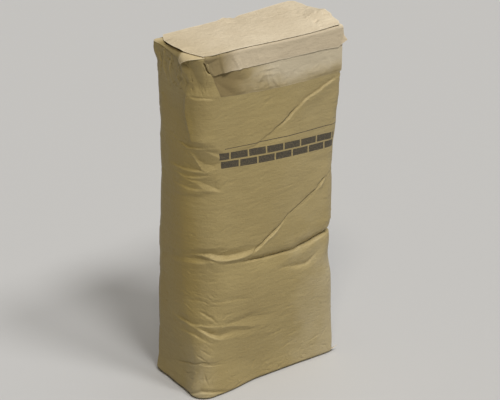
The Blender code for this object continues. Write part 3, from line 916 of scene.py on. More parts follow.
class Recipe:
    """A material under construction, with short calls for the nodes that paper needs."""

    def __init__(self, name: str) -> None:
        """Starts a material.

        Args:
            name: The material's name.
        """
        self.material = bpy.data.materials.new(name)
        self.material.use_nodes = True
        self.tree = self.material.node_tree
        self.shader = self.tree.nodes["Principled BSDF"]
        self.place = self.tree.nodes.new("ShaderNodeTexCoord").outputs["Object"]

    def feed(self, socket: Socket, value: object) -> None:
        """Sets a socket, or links another node's output to it.

        Args:
            socket: The socket.
            value: A number, a colour or an output.
        """
        if isinstance(value, Socket):
            self.tree.links.new(value, socket)
        else:
            socket.default_value = value

    def noise(self, scale: float, stretch: Triple = (1.0, 1.0, 1.0), detail: float = 3.0,
              roughness: float = 0.5) -> Socket:
        """Noise over the object's own coordinates.

        Args:
            scale: Swells in a metre.
            stretch: Factor on the scale along each axis.
            detail: Number of finer layers.
            roughness: How strong the finer layers are.

        Returns:
            The noise's value.
        """
        mapping = self.tree.nodes.new("ShaderNodeMapping")
        mapping.inputs["Scale"].default_value = stretch
        self.tree.links.new(self.place, mapping.inputs["Vector"])
        texture = self.tree.nodes.new("ShaderNodeTexNoise")
        texture.inputs["Scale"].default_value = scale
        texture.inputs["Detail"].default_value = detail
        texture.inputs["Roughness"].default_value = roughness
        self.tree.links.new(mapping.outputs["Vector"], texture.inputs["Vector"])
        return texture.outputs["Fac"]

    def spread(self, value: Socket, low: float, high: float, to_low: float = 0.0,
               to_high: float = 1.0) -> Socket:
        """Maps a value from one span to another, and stops at its ends.

        Args:
            value: The value.
            low: Where the first span starts.
            high: Where it ends.
            to_low: What low becomes.
            to_high: What high becomes.

        Returns:
            The mapped value.
        """
        node = self.tree.nodes.new("ShaderNodeMapRange")
        for name, number in (("From Min", low), ("From Max", high), ("To Min", to_low), ("To Max", to_high)):
            node.inputs[name].default_value = number
        self.feed(node.inputs["Value"], value)
        return node.outputs["Result"]

    def sum(self, operation: str, first: object, second: object) -> Socket:
        """One step of arithmetic on two values.

        Args:
            operation: The step's name in Blender.
            first: The first value.
            second: The second.

        Returns:
            The result.
        """
        node = self.tree.nodes.new("ShaderNodeMath")
        node.operation = operation
        self.feed(node.inputs[0], first)
        self.feed(node.inputs[1], second)
        return node.outputs[0]

    def mix(self, share: object, first: object, second: object) -> Socket:
        """Mixes two colours.

        The node's sockets 6 and 7 are its two colours, and its output 2 is the mixed one.

        Args:
            share: 0 for the first colour only, and 1 for the second only.
            first: The first colour.
            second: The second.

        Returns:
            The mixed colour.
        """
        node = self.tree.nodes.new("ShaderNodeMix")
        node.data_type = "RGBA"
        self.feed(node.inputs["Factor"], share)
        self.feed(node.inputs[6], first)
        self.feed(node.inputs[7], second)
        return node.outputs[2]

    def bump(self, height: Socket, distance: float, under: Socket | None = None) -> Socket:
        """Raises the surface's shading.

        Args:
            height: The relief, from 0 to 1.
            distance: How high 1 is.
            under: Another bump that this one is added to.

        Returns:
            The bumped normal.
        """
        node = self.tree.nodes.new("ShaderNodeBump")
        node.inputs["Distance"].default_value = distance
        self.tree.links.new(height, node.inputs["Height"])
        if under is not None:
            self.tree.links.new(under, node.inputs["Normal"])
        return node.outputs["Normal"]

    def axes(self) -> tuple[Socket, ...]:
        """The object's own X, Y and Z at each point.

        Returns:
            Three values.
        """
        node = self.tree.nodes.new("ShaderNodeSeparateXYZ")
        self.tree.links.new(self.place, node.inputs[0])
        return tuple(node.outputs)

    def attribute(self, name: str) -> Socket:
        """A value that the mesh holds at its points.

        Args:
            name: The value's name.

        Returns:
            The value.
        """
        node = self.tree.nodes.new("ShaderNodeAttribute")
        node.attribute_name = name
        return node.outputs["Fac"]


@dataclass(frozen=True)
class Patch:
    """A cloudy patch of another colour, such as dust, painted sheen or painted shade, that comes in along one
    or more axes.
    """

    colour: Colour
    share: float
    fades: tuple[tuple[Axis, float, float], ...]
    cloud: float = 0.6
    cloud_scale: float = 22.0

    def cover(self, recipe: Recipe) -> Socket:
        """How far the patch hides the paper at each point.

        Each fade holds an axis, the place along it where the patch starts and the place where
        it is full.

        Args:
            recipe: The paper's material.

        Returns:
            Its cover, from 0 to 1.
        """
        axes = recipe.axes()
        cloud = recipe.spread(recipe.noise(self.cloud_scale, detail=4.0, roughness=0.6), *MIDDLE, -0.5, 0.5)
        total = None
        for axis, start, full in self.fades:
            shift = recipe.sum("MULTIPLY", cloud, self.cloud * (full - start))
            part = recipe.spread(recipe.sum("ADD", axes[axis.value], shift), start, full)
            total = part if total is None else recipe.sum("MULTIPLY", total, part)
        return recipe.sum("MULTIPLY", total, self.share)


# Pale dust colour. On the tube's front it also stands in for sheen, as painted sheen.
DUST_AND_SHEEN = (0.75, 0.68, 0.52, 1.0)
BROWN = (0.33, 0.255, 0.112, 1.0)


@dataclass(frozen=True)
class KraftPaper:
    """Satin kraft paper: fibres, drift of colour, creases with paler crests, partly worn and partly a painted
    highlight, painted shade in the grooves and, if wanted, printing.

    Scales are in swells in a metre, shares run from 0 to 1, and reliefs and the printing's sizes
    are in metres.
    """

    name: str
    light: Colour
    dark: Colour
    worn_and_highlight: Colour
    roughness: Span
    fibre_relief: float
    wrinkle_relief: float
    patches: tuple[Patch, ...] = ()
    sheen: float = 0.14
    sheen_tint: Colour = (1.0, 0.84, 0.58, 1.0)
    drift_scale: float = 9.0
    drift_share: float = 0.45
    streak_scale: float = 26.0
    streak_share: float = 0.35
    fibre_scale: float = 420.0
    fibre_span: Span = (0.35, 0.70)
    fibre_share: float = 0.16
    speck_scale: float = 1500.0
    speck_span: Span = (0.62, 0.74)
    speck_share: float = 0.12
    ridge_span: Span = (0.04, 0.22)
    ridge_share: float = 0.62
    groove_shade_span: Span = (-0.24, -0.04)
    groove_share: float = 0.55
    groove_shade: float = 0.55
    wrinkle_scale: float = 150.0
    ripple_scale: float = 70.0
    ripple_relief: float = 0.0006
    printed: bool = False
    ink: Colour = (0.052, 0.047, 0.042, 1.0)
    ink_scale: float = 500.0
    ink_span: Span = (0.30, 0.55)
    ink_cover: Span = (0.72, 0.96)
    print_behind: float = -0.045
    print_slope: float = -0.081
    courses: int = 2
    print_low: float = 0.398
    print_left: float = -0.097
    print_right: float = 0.129
    course: float = 0.0145
    brick: float = 0.034
    joint: float = 0.0028
    rule_middle: float = 0.4365
    rule_slope: float = -0.048
    rule_half: float = 0.0006
    rule_left: float = -0.088

    def make(self) -> bpy.types.Material:
        """Builds the paper's material.

        Returns:
            The material.
        """
        recipe = Recipe(self.name)
        drift = recipe.spread(recipe.noise(self.drift_scale, detail=3.0), *MIDDLE)
        streak = recipe.spread(recipe.noise(self.streak_scale, (1.0, 1.0, 9.0), 4.0, 0.6), *MIDDLE)
        fibre = recipe.noise(self.fibre_scale, (1.0, 1.0, 2.6), 4.0, 0.7)
        speck = recipe.spread(recipe.noise(self.speck_scale, detail=1.0), *self.speck_span)
        share = recipe.sum("MULTIPLY_ADD", drift, self.drift_share)
        recipe.feed(share.node.inputs[2], recipe.sum("MULTIPLY", streak, self.streak_share))
        colour = recipe.mix(share, self.dark, self.light)
        rubbed = recipe.spread(fibre, *self.fibre_span, 0.0, self.fibre_share)
        colour = recipe.mix(rubbed, colour, self.worn_and_highlight)
        colour = recipe.mix(recipe.sum("MULTIPLY", speck, self.speck_share), colour, self.dark)
        bend_mask = recipe.attribute("crease_bend")
        # Convex creases are mixed towards the worn colour: partly real wear, partly a painted highlight on
        # the crests.
        ridge = recipe.spread(bend_mask, *self.ridge_span, 0.0, self.ridge_share)
        colour = recipe.mix(ridge, colour, self.worn_and_highlight)
        # Concave creases are mixed towards a darker colour: painted shade in the grooves.
        groove = recipe.spread(bend_mask, *self.groove_shade_span, self.groove_share, 0.0)
        shaded = tuple(self.groove_shade * part for part in self.dark[:3]) + (1.0,)
        colour = recipe.mix(groove, colour, shaded)
        for patch in self.patches:
            colour = recipe.mix(patch.cover(recipe), colour, patch.colour)
        if self.printed:
            colour = recipe.mix(self.printing(recipe), colour, self.ink)
        shader = recipe.shader
        recipe.feed(shader.inputs["Base Color"], colour)
        recipe.feed(shader.inputs["Roughness"], recipe.spread(fibre, *MIDDLE, *self.roughness))
        shader.inputs["Specular IOR Level"].default_value = self.sheen
        shader.inputs["Specular Tint"].default_value = self.sheen_tint
        wrinkle = recipe.noise(self.wrinkle_scale, (1.0, 1.0, 1.6), 4.0, 0.6)
        fine = recipe.bump(wrinkle, self.wrinkle_relief, recipe.bump(fibre, self.fibre_relief))
        ripple = recipe.noise(self.ripple_scale, (0.5, 0.5, 2.4), 3.0, 0.55)
        recipe.feed(shader.inputs["Normal"], recipe.bump(ripple, self.ripple_relief, fine))
        return recipe.material

    def printing(self, recipe: Recipe) -> Socket:
        """Where the front is printed: a thin rule over a strip of plain brickwork.

        Args:
            recipe: The paper's material.

        Returns:
            How much ink there is, from 0 to 1.
        """
        x, y, z = recipe.axes()
        front = recipe.sum("LESS_THAN", y, self.print_behind)
        up = recipe.sum("SUBTRACT", z, recipe.sum("MULTIPLY", x, self.print_slope))
        course = recipe.sum("DIVIDE", recipe.sum("SUBTRACT", up, self.print_low), self.course)
        number = recipe.sum("FLOOR", course, 0.0)
        across = recipe.sum("DIVIDE", recipe.sum("SUBTRACT", x, self.print_left), self.brick)
        across = recipe.sum("ADD", across, recipe.sum("MULTIPLY", number, 0.5))
        brick_face = self.inside(recipe, across, self.brick)
        face = recipe.sum("MULTIPLY", brick_face, self.inside(recipe, course, self.course))
        strip = recipe.sum("MULTIPLY", self.between(recipe, number, -0.5, self.courses - 0.5), face)
        strip = recipe.sum("MULTIPLY", strip, self.between(recipe, x, self.print_left, self.print_right))
        rule_up = recipe.sum("SUBTRACT", z, recipe.sum("MULTIPLY", x, self.rule_slope))
        lower, upper = self.rule_middle - self.rule_half, self.rule_middle + self.rule_half
        rule = self.between(recipe, rule_up, lower, upper)
        rule = recipe.sum("MULTIPLY", rule, recipe.sum("GREATER_THAN", x, self.rule_left))
        ink = recipe.sum("MULTIPLY", recipe.sum("MAXIMUM", strip, rule), front)
        thin = recipe.noise(self.ink_scale, detail=3.0, roughness=0.7)
        thin = recipe.spread(thin, *self.ink_span, *self.ink_cover)
        return recipe.sum("MULTIPLY", ink, thin)

    def between(self, recipe: Recipe, value: Socket, low: float, high: float) -> Socket:
        """1 where a value lies from low to high, else 0."""
        over = recipe.sum("GREATER_THAN", value, low)
        return recipe.sum("MULTIPLY", over, recipe.sum("LESS_THAN", value, high))

    def inside(self, recipe: Recipe, count: Socket, size: float) -> Socket:
        """1 on a brick's face and 0 on the joint before it, for a count of bricks of this size."""
        return recipe.sum("GREATER_THAN", recipe.sum("FRACT", count, 0.0), self.joint / size)


@dataclass(frozen=True)
class CementPowder:
    """Fine grey powder, matt and slightly clumped."""

    name: str = "cement_powder"
    light: Colour = (0.37, 0.36, 0.34, 1.0)
    dark: Colour = (0.27, 0.265, 0.25, 1.0)
    roughness: float = 0.96
    sheen: float = 0.2
    clump_scale: float = 160.0
    clump_relief: float = 0.001
    grain_scale: float = 2200.0
    grain_relief: float = 0.0003

    def make(self) -> bpy.types.Material:
        """Builds the powder's material.

        Returns:
            The material.
        """
        recipe = Recipe(self.name)
        clump = recipe.noise(self.clump_scale, detail=5.0, roughness=0.6)
        grain = recipe.noise(self.grain_scale, detail=2.0)
        shader = recipe.shader
        colour = recipe.mix(recipe.spread(clump, *MIDDLE), self.dark, self.light)
        recipe.feed(shader.inputs["Base Color"], colour)
        shader.inputs["Roughness"].default_value = self.roughness
        shader.inputs["Specular IOR Level"].default_value = self.sheen
        clumped = recipe.bump(clump, self.clump_relief)
        recipe.feed(shader.inputs["Normal"], recipe.bump(grain, self.grain_relief, clumped))
        return recipe.material


@dataclass
class PaperTube:
    """The sack's wall: one crumpled skin, closed over both ends.

    Steps, the fine span and its fade, end_cover and the sizes of the noises are in metres, and the
    other lengths in millimetres. pleat_share is the part of drift and lift that moves the pleats
    too. broad_at_ends, middle_at_ends and least_relief are the parts left where the paper is held.
    """

    form: SackForm
    finish: bpy.types.Material
    step: float = 0.0011
    quick_step: float = 0.0022
    row_gain: float = 1.1
    hidden_gain: float = 2.2
    fine_span: Span = (-0.285, 0.150)
    fine_fade: float = 0.050
    trial_places: int = 2001
    end_cover: float = 0.020
    end_rings: int = 6
    triangle_limit: int = 190_000
    broad_swell: float = 1.3
    broad_size: Triple = (0.085, 0.085, 0.11)
    middle_swell: float = 0.35
    middle_size: Triple = (0.030, 0.030, 0.022)
    ripple: float = 0.12
    ripple_size: Triple = (0.040, 0.040, 0.006)
    drift: float = 1.6
    drift_size: Triple = (0.016, 0.016, 0.016)
    lift: float = 1.2
    lift_size: Triple = (0.014, 0.014, 0.014)
    pleat_share: float = 0.3
    broad_at_ends: float = 0.25
    middle_at_ends: float = 0.3
    least_relief: float = 0.15
    calm_span: Span = (30.0, 500.0)
    calm_fade: float = 60.0
    free_span: Span = (2.0, 596.0)
    free_fade: float = 4.0
    corner_sag: float = 3.8
    sag_across: Span = (-158.0, -118.0)
    sag_across_fade: float = 34.0
    sag_up: Span = (90.0, 460.0)
    sag_up_fade: float = 50.0
    back_overlap: float = 60.0
    seam_height: float = 0.5
    seam_at: float = 410.0
    seam_width: float = 40.0
    flap_side: tuple[Span, ...] = (
        (522, -93), (530, -97), (546, -105), (565, -115), (575, -122), (588, -127), (600, -131),
    )
    covered_depth: float = 1.2
    covered_side: Span = (2.0, 6.0)
    covered_low: Span = (1.0, 4.5)
    covered_to: Span = (145.0, 152.0)
    hidden_depth: float = 6.0
    hidden_side: Span = (3.5, 12.0)
    hidden_low: Span = (2.0, 8.0)
    hidden_to: Span = (112.0, 126.0)
    hidden_top: Span = (588.0, 601.0)
    slit_depth: float = 4.0
    slit_side: Span = (-2.6, 1.0)
    slit_side_fade: float = 1.4
    slit_up: Span = (572.0, 586.0)
    slit_up_fade: float = 4.0

    def relief(self, u: Array, v: Array, places: Array) -> Array:
        """Height of the paper over the plain form.

        Args:
            u: Distance round the tube at each point.
            v: Distance up the wall.
            places: The plain form's points.

        Returns:
            Heights in metres, outwards.
        """
        across, up = u / MM, v / MM
        calm = within(up, *self.calm_span, self.calm_fade)
        ends = within(up, *self.free_span, self.free_fade)
        broad = self.broad_swell * GradientNoise(1).at(places, self.broad_size)
        middle = self.middle_swell * GradientNoise(2).at(places, self.middle_size)
        heights = broad * partly(calm, self.broad_at_ends)
        heights += middle * partly(calm, self.middle_at_ends)
        heights += self.ripple * GradientNoise(3).at(places, self.ripple_size)
        drift = self.drift * GradientNoise(4).at(places, self.drift_size)
        lift = self.lift * GradientNoise(5).at(places, self.lift_size)
        sag = self.corner_sag * within(across, *self.sag_across, self.sag_across_fade)
        sag = sag * within(up, *self.sag_up, self.sag_up_fade)
        lift += sag
        folds = list(itertools.chain(FRONT_FOLDS, CORNER_CRUMPLES, LOW_CRUMPLES, TOP_FOLDS, HIDDEN_FOLDS))
        for zone in CRUMPLE_ZONES:
            folds += zone.creases()
        girth = self.form.girth / MM
        pressed = np.zeros_like(heights)
        pleat_across, pleat_up = across + self.pleat_share * drift, up + self.pleat_share * (lift - sag)
        for pleat in FITTED_PLEATS:
            pleat.press(pleat_across, pleat_up, pressed)
            if max(point[0] for point in pleat.lines[0]) > girth / 2:
                pleat.press(across + girth + self.pleat_share * drift, pleat_up, pressed)
        for fold in folds:
            fold.press(across + drift, up + lift, pressed)
            if max(point[0] for point in fold.path) > girth / 2 - self.back_overlap:
                fold.press(across + girth + drift, up + lift, pressed)
        heights += pressed
        seam = np.clip((across - self.seam_at + self.seam_width) / self.seam_width, 0.0, 1.0)
        heights += np.where(across < self.seam_at, self.seam_height * seam, 0.0)
        return heights * partly(ends, self.least_relief) * MM

    def give_way(self, u: Array, v: Array, heights: Array) -> Array:
        """Makes room for the flaps, and opens a slit beside the outer one's end.

        Args:
            u: Distance round the tube at each point.
            v: Distance up the wall.
            heights: The paper's heights in metres.

        Returns:
            The heights with the paper pressed in under the flaps.
        """
        across, up = u / MM, v / MM
        from_side = across - np.interp(up, *np.array(self.flap_side).T)
        from_low = up - np.interp(across, *np.array(UNDER_LOWER_EDGE).T[:2])
        right = 1.0 - smooth(across, *self.covered_to)
        covered = smooth(from_side, *self.covered_side) * right * smooth(from_low, *self.covered_low)
        pressed = np.minimum(heights, 0.0) - self.covered_depth * MM
        heights = heights * (1.0 - covered) + pressed * covered
        deep = smooth(from_side, *self.hidden_side) * (1.0 - smooth(across, *self.hidden_to))
        deep = deep * smooth(from_low, *self.hidden_low) * (1.0 - smooth(up, *self.hidden_top))
        slit = within(from_side, *self.slit_side, self.slit_side_fade)
        slit = slit * within(up, *self.slit_up, self.slit_up_fade)
        return heights - (self.hidden_depth * deep + self.slit_depth * slit) * MM

    def close_end(self, ring: Array, inward: int) -> tuple[Array, Array, Array]:
        """Closes one end of the skin with rings that shrink to a point.

        Args:
            ring: The end's last ring of points.
            inward: Number of rings before the middle.

        Returns:
            The new points, their quads and their triangles, numbered from the ring on.
        """
        count = len(ring)
        middle = ring.mean(axis=0)
        rings = [ring] + [middle + (ring - middle) * (1.0 - part / inward) for part in range(1, inward)]
        points = np.concatenate([*rings[1:], middle[None]])
        quads = grid_faces(len(rings), count, True)
        start = np.arange(count) + (len(rings) - 1) * count
        after = (start - start[0] + 1) % count + start[0]
        peak = np.full(count, len(rings) * count)
        return points, quads, np.stack([start, after, peak], 1)

    def columns(self, step: float) -> Array:
        """Places round the tube, close together on the front and the valve's side.

        Args:
            step: Distance between them there.

        Returns:
            Distances round the tube.
        """
        place = np.linspace(-0.5, 0.5, self.trial_places) * self.form.girth
        gap = step * partly(within(place, *self.fine_span, self.fine_fade), self.hidden_gain)
        number = np.concatenate([[0.0], np.cumsum(np.diff(place) / gap[1:])])
        count = round(number[-1])
        return np.interp(np.arange(count) / count * number[-1], number, place)

    def low_numbers(self, faces: Array, columns: int, start: int) -> Array:
        """Numbers the lower end's faces as the skin does, and turns them to face down.

        Args:
            faces: Faces numbered from the lower end's ring on.
            columns: Number of points in that ring, which is the skin's first row.
            start: The skin's number for the first point inside the ring.

        Returns:
            The faces with the skin's numbers.
        """
        return np.where(faces < columns, faces, faces - columns + start)[:, ::-1]

    def skin(self, step: float, inset: float) -> tuple[Array, Array, Array]:
        """Points and faces of the crumpled skin.

        Args:
            step: Size of the grid's squares.
            inset: How far inside the paper the skin lies.

        Returns:
            Points, quads and triangles.
        """
        form = self.form
        u = self.columns(step)
        columns = len(u)
        low = form.bottom + form.lower_edge * (1.0 - math.pi / 2) - self.end_cover
        high = form.top - form.upper_edge * (1.0 - math.pi / 2) + self.end_cover
        rows = round((high - low) / (self.row_gain * step)) + 1
        v = np.linspace(low, high, rows)
        all_v, all_u = (part.ravel() for part in np.meshgrid(v, u, indexing="ij"))
        places, normals = form.at(all_u, all_v)
        heights = self.give_way(all_u, all_v, self.relief(all_u, all_v, places))
        points = places + normals * (heights - inset)[:, None]
        points[:, 2] = np.maximum(points[:, 2], form.bottom + inset)
        quads = grid_faces(rows, columns, True)
        top_points, top_quads, top_triangles = self.close_end(points[-columns:], self.end_rings)
        low_points, low_quads, low_triangles = self.close_end(points[:columns], self.end_rings)
        top_from = len(points) - columns
        low_from = len(points) + len(top_points)
        low_quads = self.low_numbers(low_quads, columns, low_from)
        low_triangles = self.low_numbers(low_triangles, columns, low_from)
        quads = np.concatenate([quads, top_quads + top_from, low_quads])
        triangles = np.concatenate([top_triangles + top_from, low_triangles])
        return np.concatenate([points, top_points, low_points]), quads, triangles

    def build(self) -> bpy.types.Object:
        """Makes the wall and dresses it.

        Returns:
            The piece.
        """
        points, quads, triangles = self.skin(self.step, 0.0)
        wall = make_piece("paper_tube_skin", points, quads, triangles)
        total = 2 * len(quads) + len(triangles)
        if total > self.triangle_limit:
            thinner = wall.modifiers.new("thin_out", "DECIMATE")
            thinner.ratio = self.triangle_limit / total
            apply_modifiers(wall)
        wall.data.shade_smooth()
        mark_crease_shading_and_wear(wall)
        dress(wall, self.finish, Slot.TUBE_PAPER, "paper_tube")
        return wall


@dataclass
class CementFill:
    """The powder inside the tube, a little smaller than the paper round it."""

    tube: PaperTube
    finish: bpy.types.Material
    step: float = 0.006
    inset: float = 0.0075

    def build(self) -> bpy.types.Object:
        """Makes the powder's body and dresses it.

        Returns:
            The piece.
        """
        points, quads, triangles = self.tube.skin(self.step, self.inset)
        powder = make_piece("cement_powder_body", points, quads, triangles)
        dress(powder, self.finish, Slot.POWDER, "cement_fill")
        return powder


@dataclass
class ClosingFlap:
    """A sheet that lies on the upper end, bends over the front's edge and hangs down there.

    Its edges, folds, curl, give, slack, swell and ripple are in millimetres, and its other lengths
    in metres. curl_from and wobble_from are shares of the way down, and curl_mean, curl_change,
    thin_lift and least_relief are shares too.
    """

    wall: PaperTube
    finish: bpy.types.Material
    name: str
    node: str
    lift: float
    lower_edge: Path
    left_edge: Path
    right_edge: Path
    folds: tuple[Crease | Bend | Pleat, ...]
    lower_curl: float
    give: float
    glued: bool
    seed: int
    step: float = 0.0015
    top_end: float = 0.616
    straight_from: float = 0.128
    rim: float = 0.005
    sink: float = 0.00035
    width: float = 0.265
    outline_rounds: int = 4
    swell: float = 0.30
    swell_size: Triple = (0.030, 0.016, 1.0)
    ripple: float = 0.10
    ripple_size: Triple = (0.008, 0.008, 1.0)
    curl_size: Triple = (0.050, 0.050, 1.0)
    curl_from: Span = (0.55, 1.0)
    curl_mean: float = 0.6
    curl_change: float = 0.8
    slack: float = 0.35
    give_to: Span = (0.578, 0.594)
    end_give: float = 7.0
    end_give_from: Span = (0.080, 0.094)
    wall_to: Span = (0.590, 0.604)
    wobble: float = 0.0006
    wobble_size: Triple = (0.012, 0.012, 1.0)
    wobble_from: Span = (0.8, 1.0)
    thin_lift_from: Span = (0.595, 0.606)
    thin_lift: float = 0.5
    least_relief: float = 0.1

    @property
    def form(self) -> SackForm:
        """The sack's plain form."""
        return self.wall.form

    def lay(self, u: Array, v: Array, lift: Array) -> Array:
        """Places paper over the sack's front, straight on past its right corner.

        Args:
            u: Distance round the tube.
            v: Distance up the wall.
            lift: Distance off the plain form.

        Returns:
            The points.
        """
        held = np.minimum(u, self.straight_from)
        places, normals = self.form.at(held, v)
        points = places + normals * lift[:, None]
        points[:, 0] += u - held
        return points

    def relief(self, u: Array, v: Array, down: Array) -> Array:
        """Height of the flap over its resting place, in metres.

        Args:
            u: Distance round the tube.
            v: Distance up the wall.
            down: 0 at the flap's hidden end and 1 at its lower edge.

        Returns:
            Heights outwards.
        """
        flat = np.stack([u, v, np.zeros_like(u)], 1)
        heights = self.swell * GradientNoise(self.seed).at(flat, self.swell_size)
        heights += self.ripple * GradientNoise(self.seed + 1).at(flat, self.ripple_size)
        for fold in itertools.chain(self.folds, *(zone.creases() for zone in FLAP_ZONES)):
            fold.press(u / MM, v / MM, heights)
        change = self.curl_change * GradientNoise(self.seed + 2).at(flat, self.curl_size)
        curl = self.lower_curl * (self.curl_mean + change)
        give = np.maximum(self.give, self.end_give * smooth(-u, *self.end_give_from))
        room = (1.0 - smooth(v, *self.give_to)) * give
        heights = np.maximum(heights, -self.slack - room) + curl * smooth(down, *self.curl_from)
        on_wall = 1.0 - smooth(v, *self.wall_to)
        return heights * partly(on_wall, self.least_relief) * MM

    def build(self) -> bpy.types.Object:
        """Makes the flap and dresses it.

        Returns:
            The piece.
        """
        low_u, low_v, _ = np.asarray(self.lower_edge, float).T * MM
        left_u, left_v, _ = np.asarray(self.left_edge, float)[::-1].T * MM
        right_u, right_v, _ = np.asarray(self.right_edge, float)[::-1].T * MM
        columns = round(self.width / self.step)
        rows = round((self.top_end - low_v.min()) / self.step)
        down, across = np.meshgrid(np.linspace(0.0, 1.0, rows), np.linspace(0.0, 1.0, columns), indexing="ij")
        u = left_u.min() + (right_u.min() - left_u.min()) * across
        for _ in range(self.outline_rounds):
            v = self.top_end + (np.interp(u, low_u, low_v) - self.top_end) * down
            left, right = np.interp(v, left_v, left_u), np.interp(v, right_v, right_u)
            u = left + (right - left) * across
        u, v, down, side = u.ravel(), v.ravel(), down.ravel(), (u - left).ravel()
        wobble = GradientNoise(self.seed + 3).at(np.stack([u, v, 0 * u], 1), self.wobble_size)
        v = v + self.wobble * wobble * smooth(down, *self.wobble_from)
        lift = self.lift * (1.0 - self.thin_lift * smooth(v, *self.thin_lift_from))
        lift = lift + self.relief(u, v, down)
        places, _ = self.form.at(u, v)
        free = smooth(side, 0.0, self.rim)
        if self.glued:
            free = free * smooth(v - np.interp(u, low_u, low_v), 0.0, self.rim)
        points = self.lay(u, v, lift * free + (self.wall.relief(u, v, places) - self.sink) * (1.0 - free))
        flap = make_piece(self.name, points, grid_faces(rows, columns, False)[:, ::-1])
        thicken(flap, PAPER, 1.0)
        mark_crease_shading_and_wear(flap)
        dress(flap, self.finish, Slot.COVER_PAPER, self.node)
        return flap


@dataclass
class TopCover:
    """The sheet glued over the upper end, buckled at its far end and lifted at the valve.

    far_lift and far_kinks hold places over the depth, from -1 to 1, with millimetres. valve_lift,
    swell, ripple, slack and back_sag are in millimetres too. corner_from, corner_length and
    side_from are shares of the half depth.
    """

    form: SackForm
    finish: bpy.types.Material
    left: float = -0.133
    left_bow: float = 0.011
    right: float = 0.1435
    right_bow: float = 0.0055
    half_depth: float = 0.0684
    rest: float = 0.5992
    step: float = 0.0015
    far_lift: tuple[Span, ...] = (
        (-1.0, 1.0), (-0.67, 2.0), (-0.44, 5.4), (-0.20, 7.6), (0.03, 4.2),
        (0.25, 1.0), (0.50, 0.4), (1.0, 0.0),
    )
    far_kinks: tuple[Span, ...] = (
        (-1.0, -2.2), (-0.92, -4.4), (-0.80, -0.6), (-0.55, -2.4), (-0.40, 0.6), (-0.30, -0.4),
        (-0.12, 1.6), (-0.04, -1.6), (0.20, 0.6), (0.45, -0.8), (0.70, 0.6), (1.0, -1.0),
    )
    valve_lift: float = 1.5
    length: float = 0.27
    corner_cut: float = 0.006
    corner_from: float = 0.93
    corner_length: float = 0.07
    side_from: Span = (0.4, 1.0)
    front_shift: float = 0.0045
    front_shift_to: Span = (-0.122, -0.104)
    back_reach: float = 0.0006
    back_shift: float = 0.0015
    back_shift_to: Span = (-0.125, 0.060)
    edge_wobble: float = 0.0005
    wobble_power: int = 8
    wobble_size: Triple = (0.022, 1.0, 1.0)
    swell: float = 0.70
    swell_size: Triple = (0.050, 0.026, 1.0)
    ripple: float = 0.08
    ripple_size: Triple = (0.010, 0.010, 1.0)
    far_from: Span = (0.095, 0.140)
    plain_relief: float = 0.8
    far_relief: float = 0.2
    gape_to: Span = (-0.124, -0.100)
    gape_span: Span = (-0.010, 0.032)
    gape_fade: float = 0.014
    slack: float = 0.35
    back_sag: float = 2.8
    back_sag_from: Span = (0.0625, 0.0680)

    def folds(self) -> list[Crease]:
        """The far end's facets, and a few creases over the rest.

        Returns:
            The creases.
        """
        far = CrumpleZone((100, 148), (-64, 62), 44, (10, 30), (0.8, 2.4), (10, 130), 31, (2.0, 8.0))
        plain = CrumpleZone((-120, 104), (-64, 64), 40, (14, 60), (0.3, 0.9), (-30, 30), 32, (2.0, 9.0))
        back = [
            Crease(((12, 40, 0.0), (8, 58, 1.0), (4, 72, 1.0)), -3.4, 12.0, 8.0, 1.0, 1.4),
            Crease(((30, 46, 0.0), (27, 60, 0.9), (26, 72, 1.0)), 4.6, 8.0, 11.0, 0.6, 1.3),
        ]
        return far.creases() + plain.creases() + back

    def build(self) -> bpy.types.Object:
        """Makes the sheet and dresses it.

        Returns:
            The piece.
        """
        columns = round(self.length / self.step)
        rows = round(2 * self.half_depth / self.step)
        deep = np.linspace(-1.0, 1.0, rows)
        deep, across = np.meshgrid(deep, np.linspace(0.0, 1.0, columns), indexing="ij")
        deep, across = deep.ravel(), across.ravel()
        bow = 1.0 - deep**2
        left = self.left + self.left_bow * (1.0 - bow) * (1.0 + smooth(deep, 0.0, 1.0))
        kinks = np.interp(deep, *np.array(self.far_kinks).T) * MM
        cut = self.corner_cut * np.clip(np.abs(deep) - self.corner_from, 0.0, 1.0) / self.corner_length
        right = self.right + self.right_bow * bow + kinks - cut
        x = left + (right - left) * across
        y = self.half_depth * deep
        y = y + self.front_shift * smooth(-deep, *self.side_from) * (1.0 - smooth(x, *self.front_shift_to))
        back_reach = self.back_reach - self.back_shift * (1.0 - smooth(x, *self.back_shift_to))
        y = y + back_reach * smooth(deep, *self.side_from)
        wobble = GradientNoise(33).at(np.stack([x, 0 * x, 0 * x], 1), self.wobble_size)
        y = y + self.edge_wobble * wobble * np.abs(deep) ** self.wobble_power
        heights = np.zeros_like(x)
        for fold in self.folds():
            fold.press(x / MM, y / MM, heights)
        flat = np.stack([x, y, 0 * x], 1)
        heights += self.swell * GradientNoise(34).at(flat, self.swell_size)
        heights += self.ripple * GradientNoise(35).at(flat, self.ripple_size)
        far = smooth(x, *self.far_from)
        lift = np.interp(deep, *np.array(self.far_lift).T)
        heights = heights * (self.plain_relief + self.far_relief * far) + lift * far
        gape = 1.0 - smooth(x, *self.gape_to)
        heights += self.valve_lift * gape * within(y, *self.gape_span, self.gape_fade)
        heights = np.maximum(heights, -self.slack - self.back_sag * smooth(y, *self.back_sag_from))
        back, rise = self.form.settle_top(x, y, np.full_like(x, self.rest))
        points = np.stack([x, y + back, self.rest + rise + heights * MM], 1)
        cover = make_piece("top_cover_paper", points, grid_faces(rows, columns, False))
        thicken(cover, PAPER, 1.0)
        mark_crease_shading_and_wear(cover)
        dress(cover, self.finish, Slot.COVER_PAPER, "top_cover_sheet")
        return cover


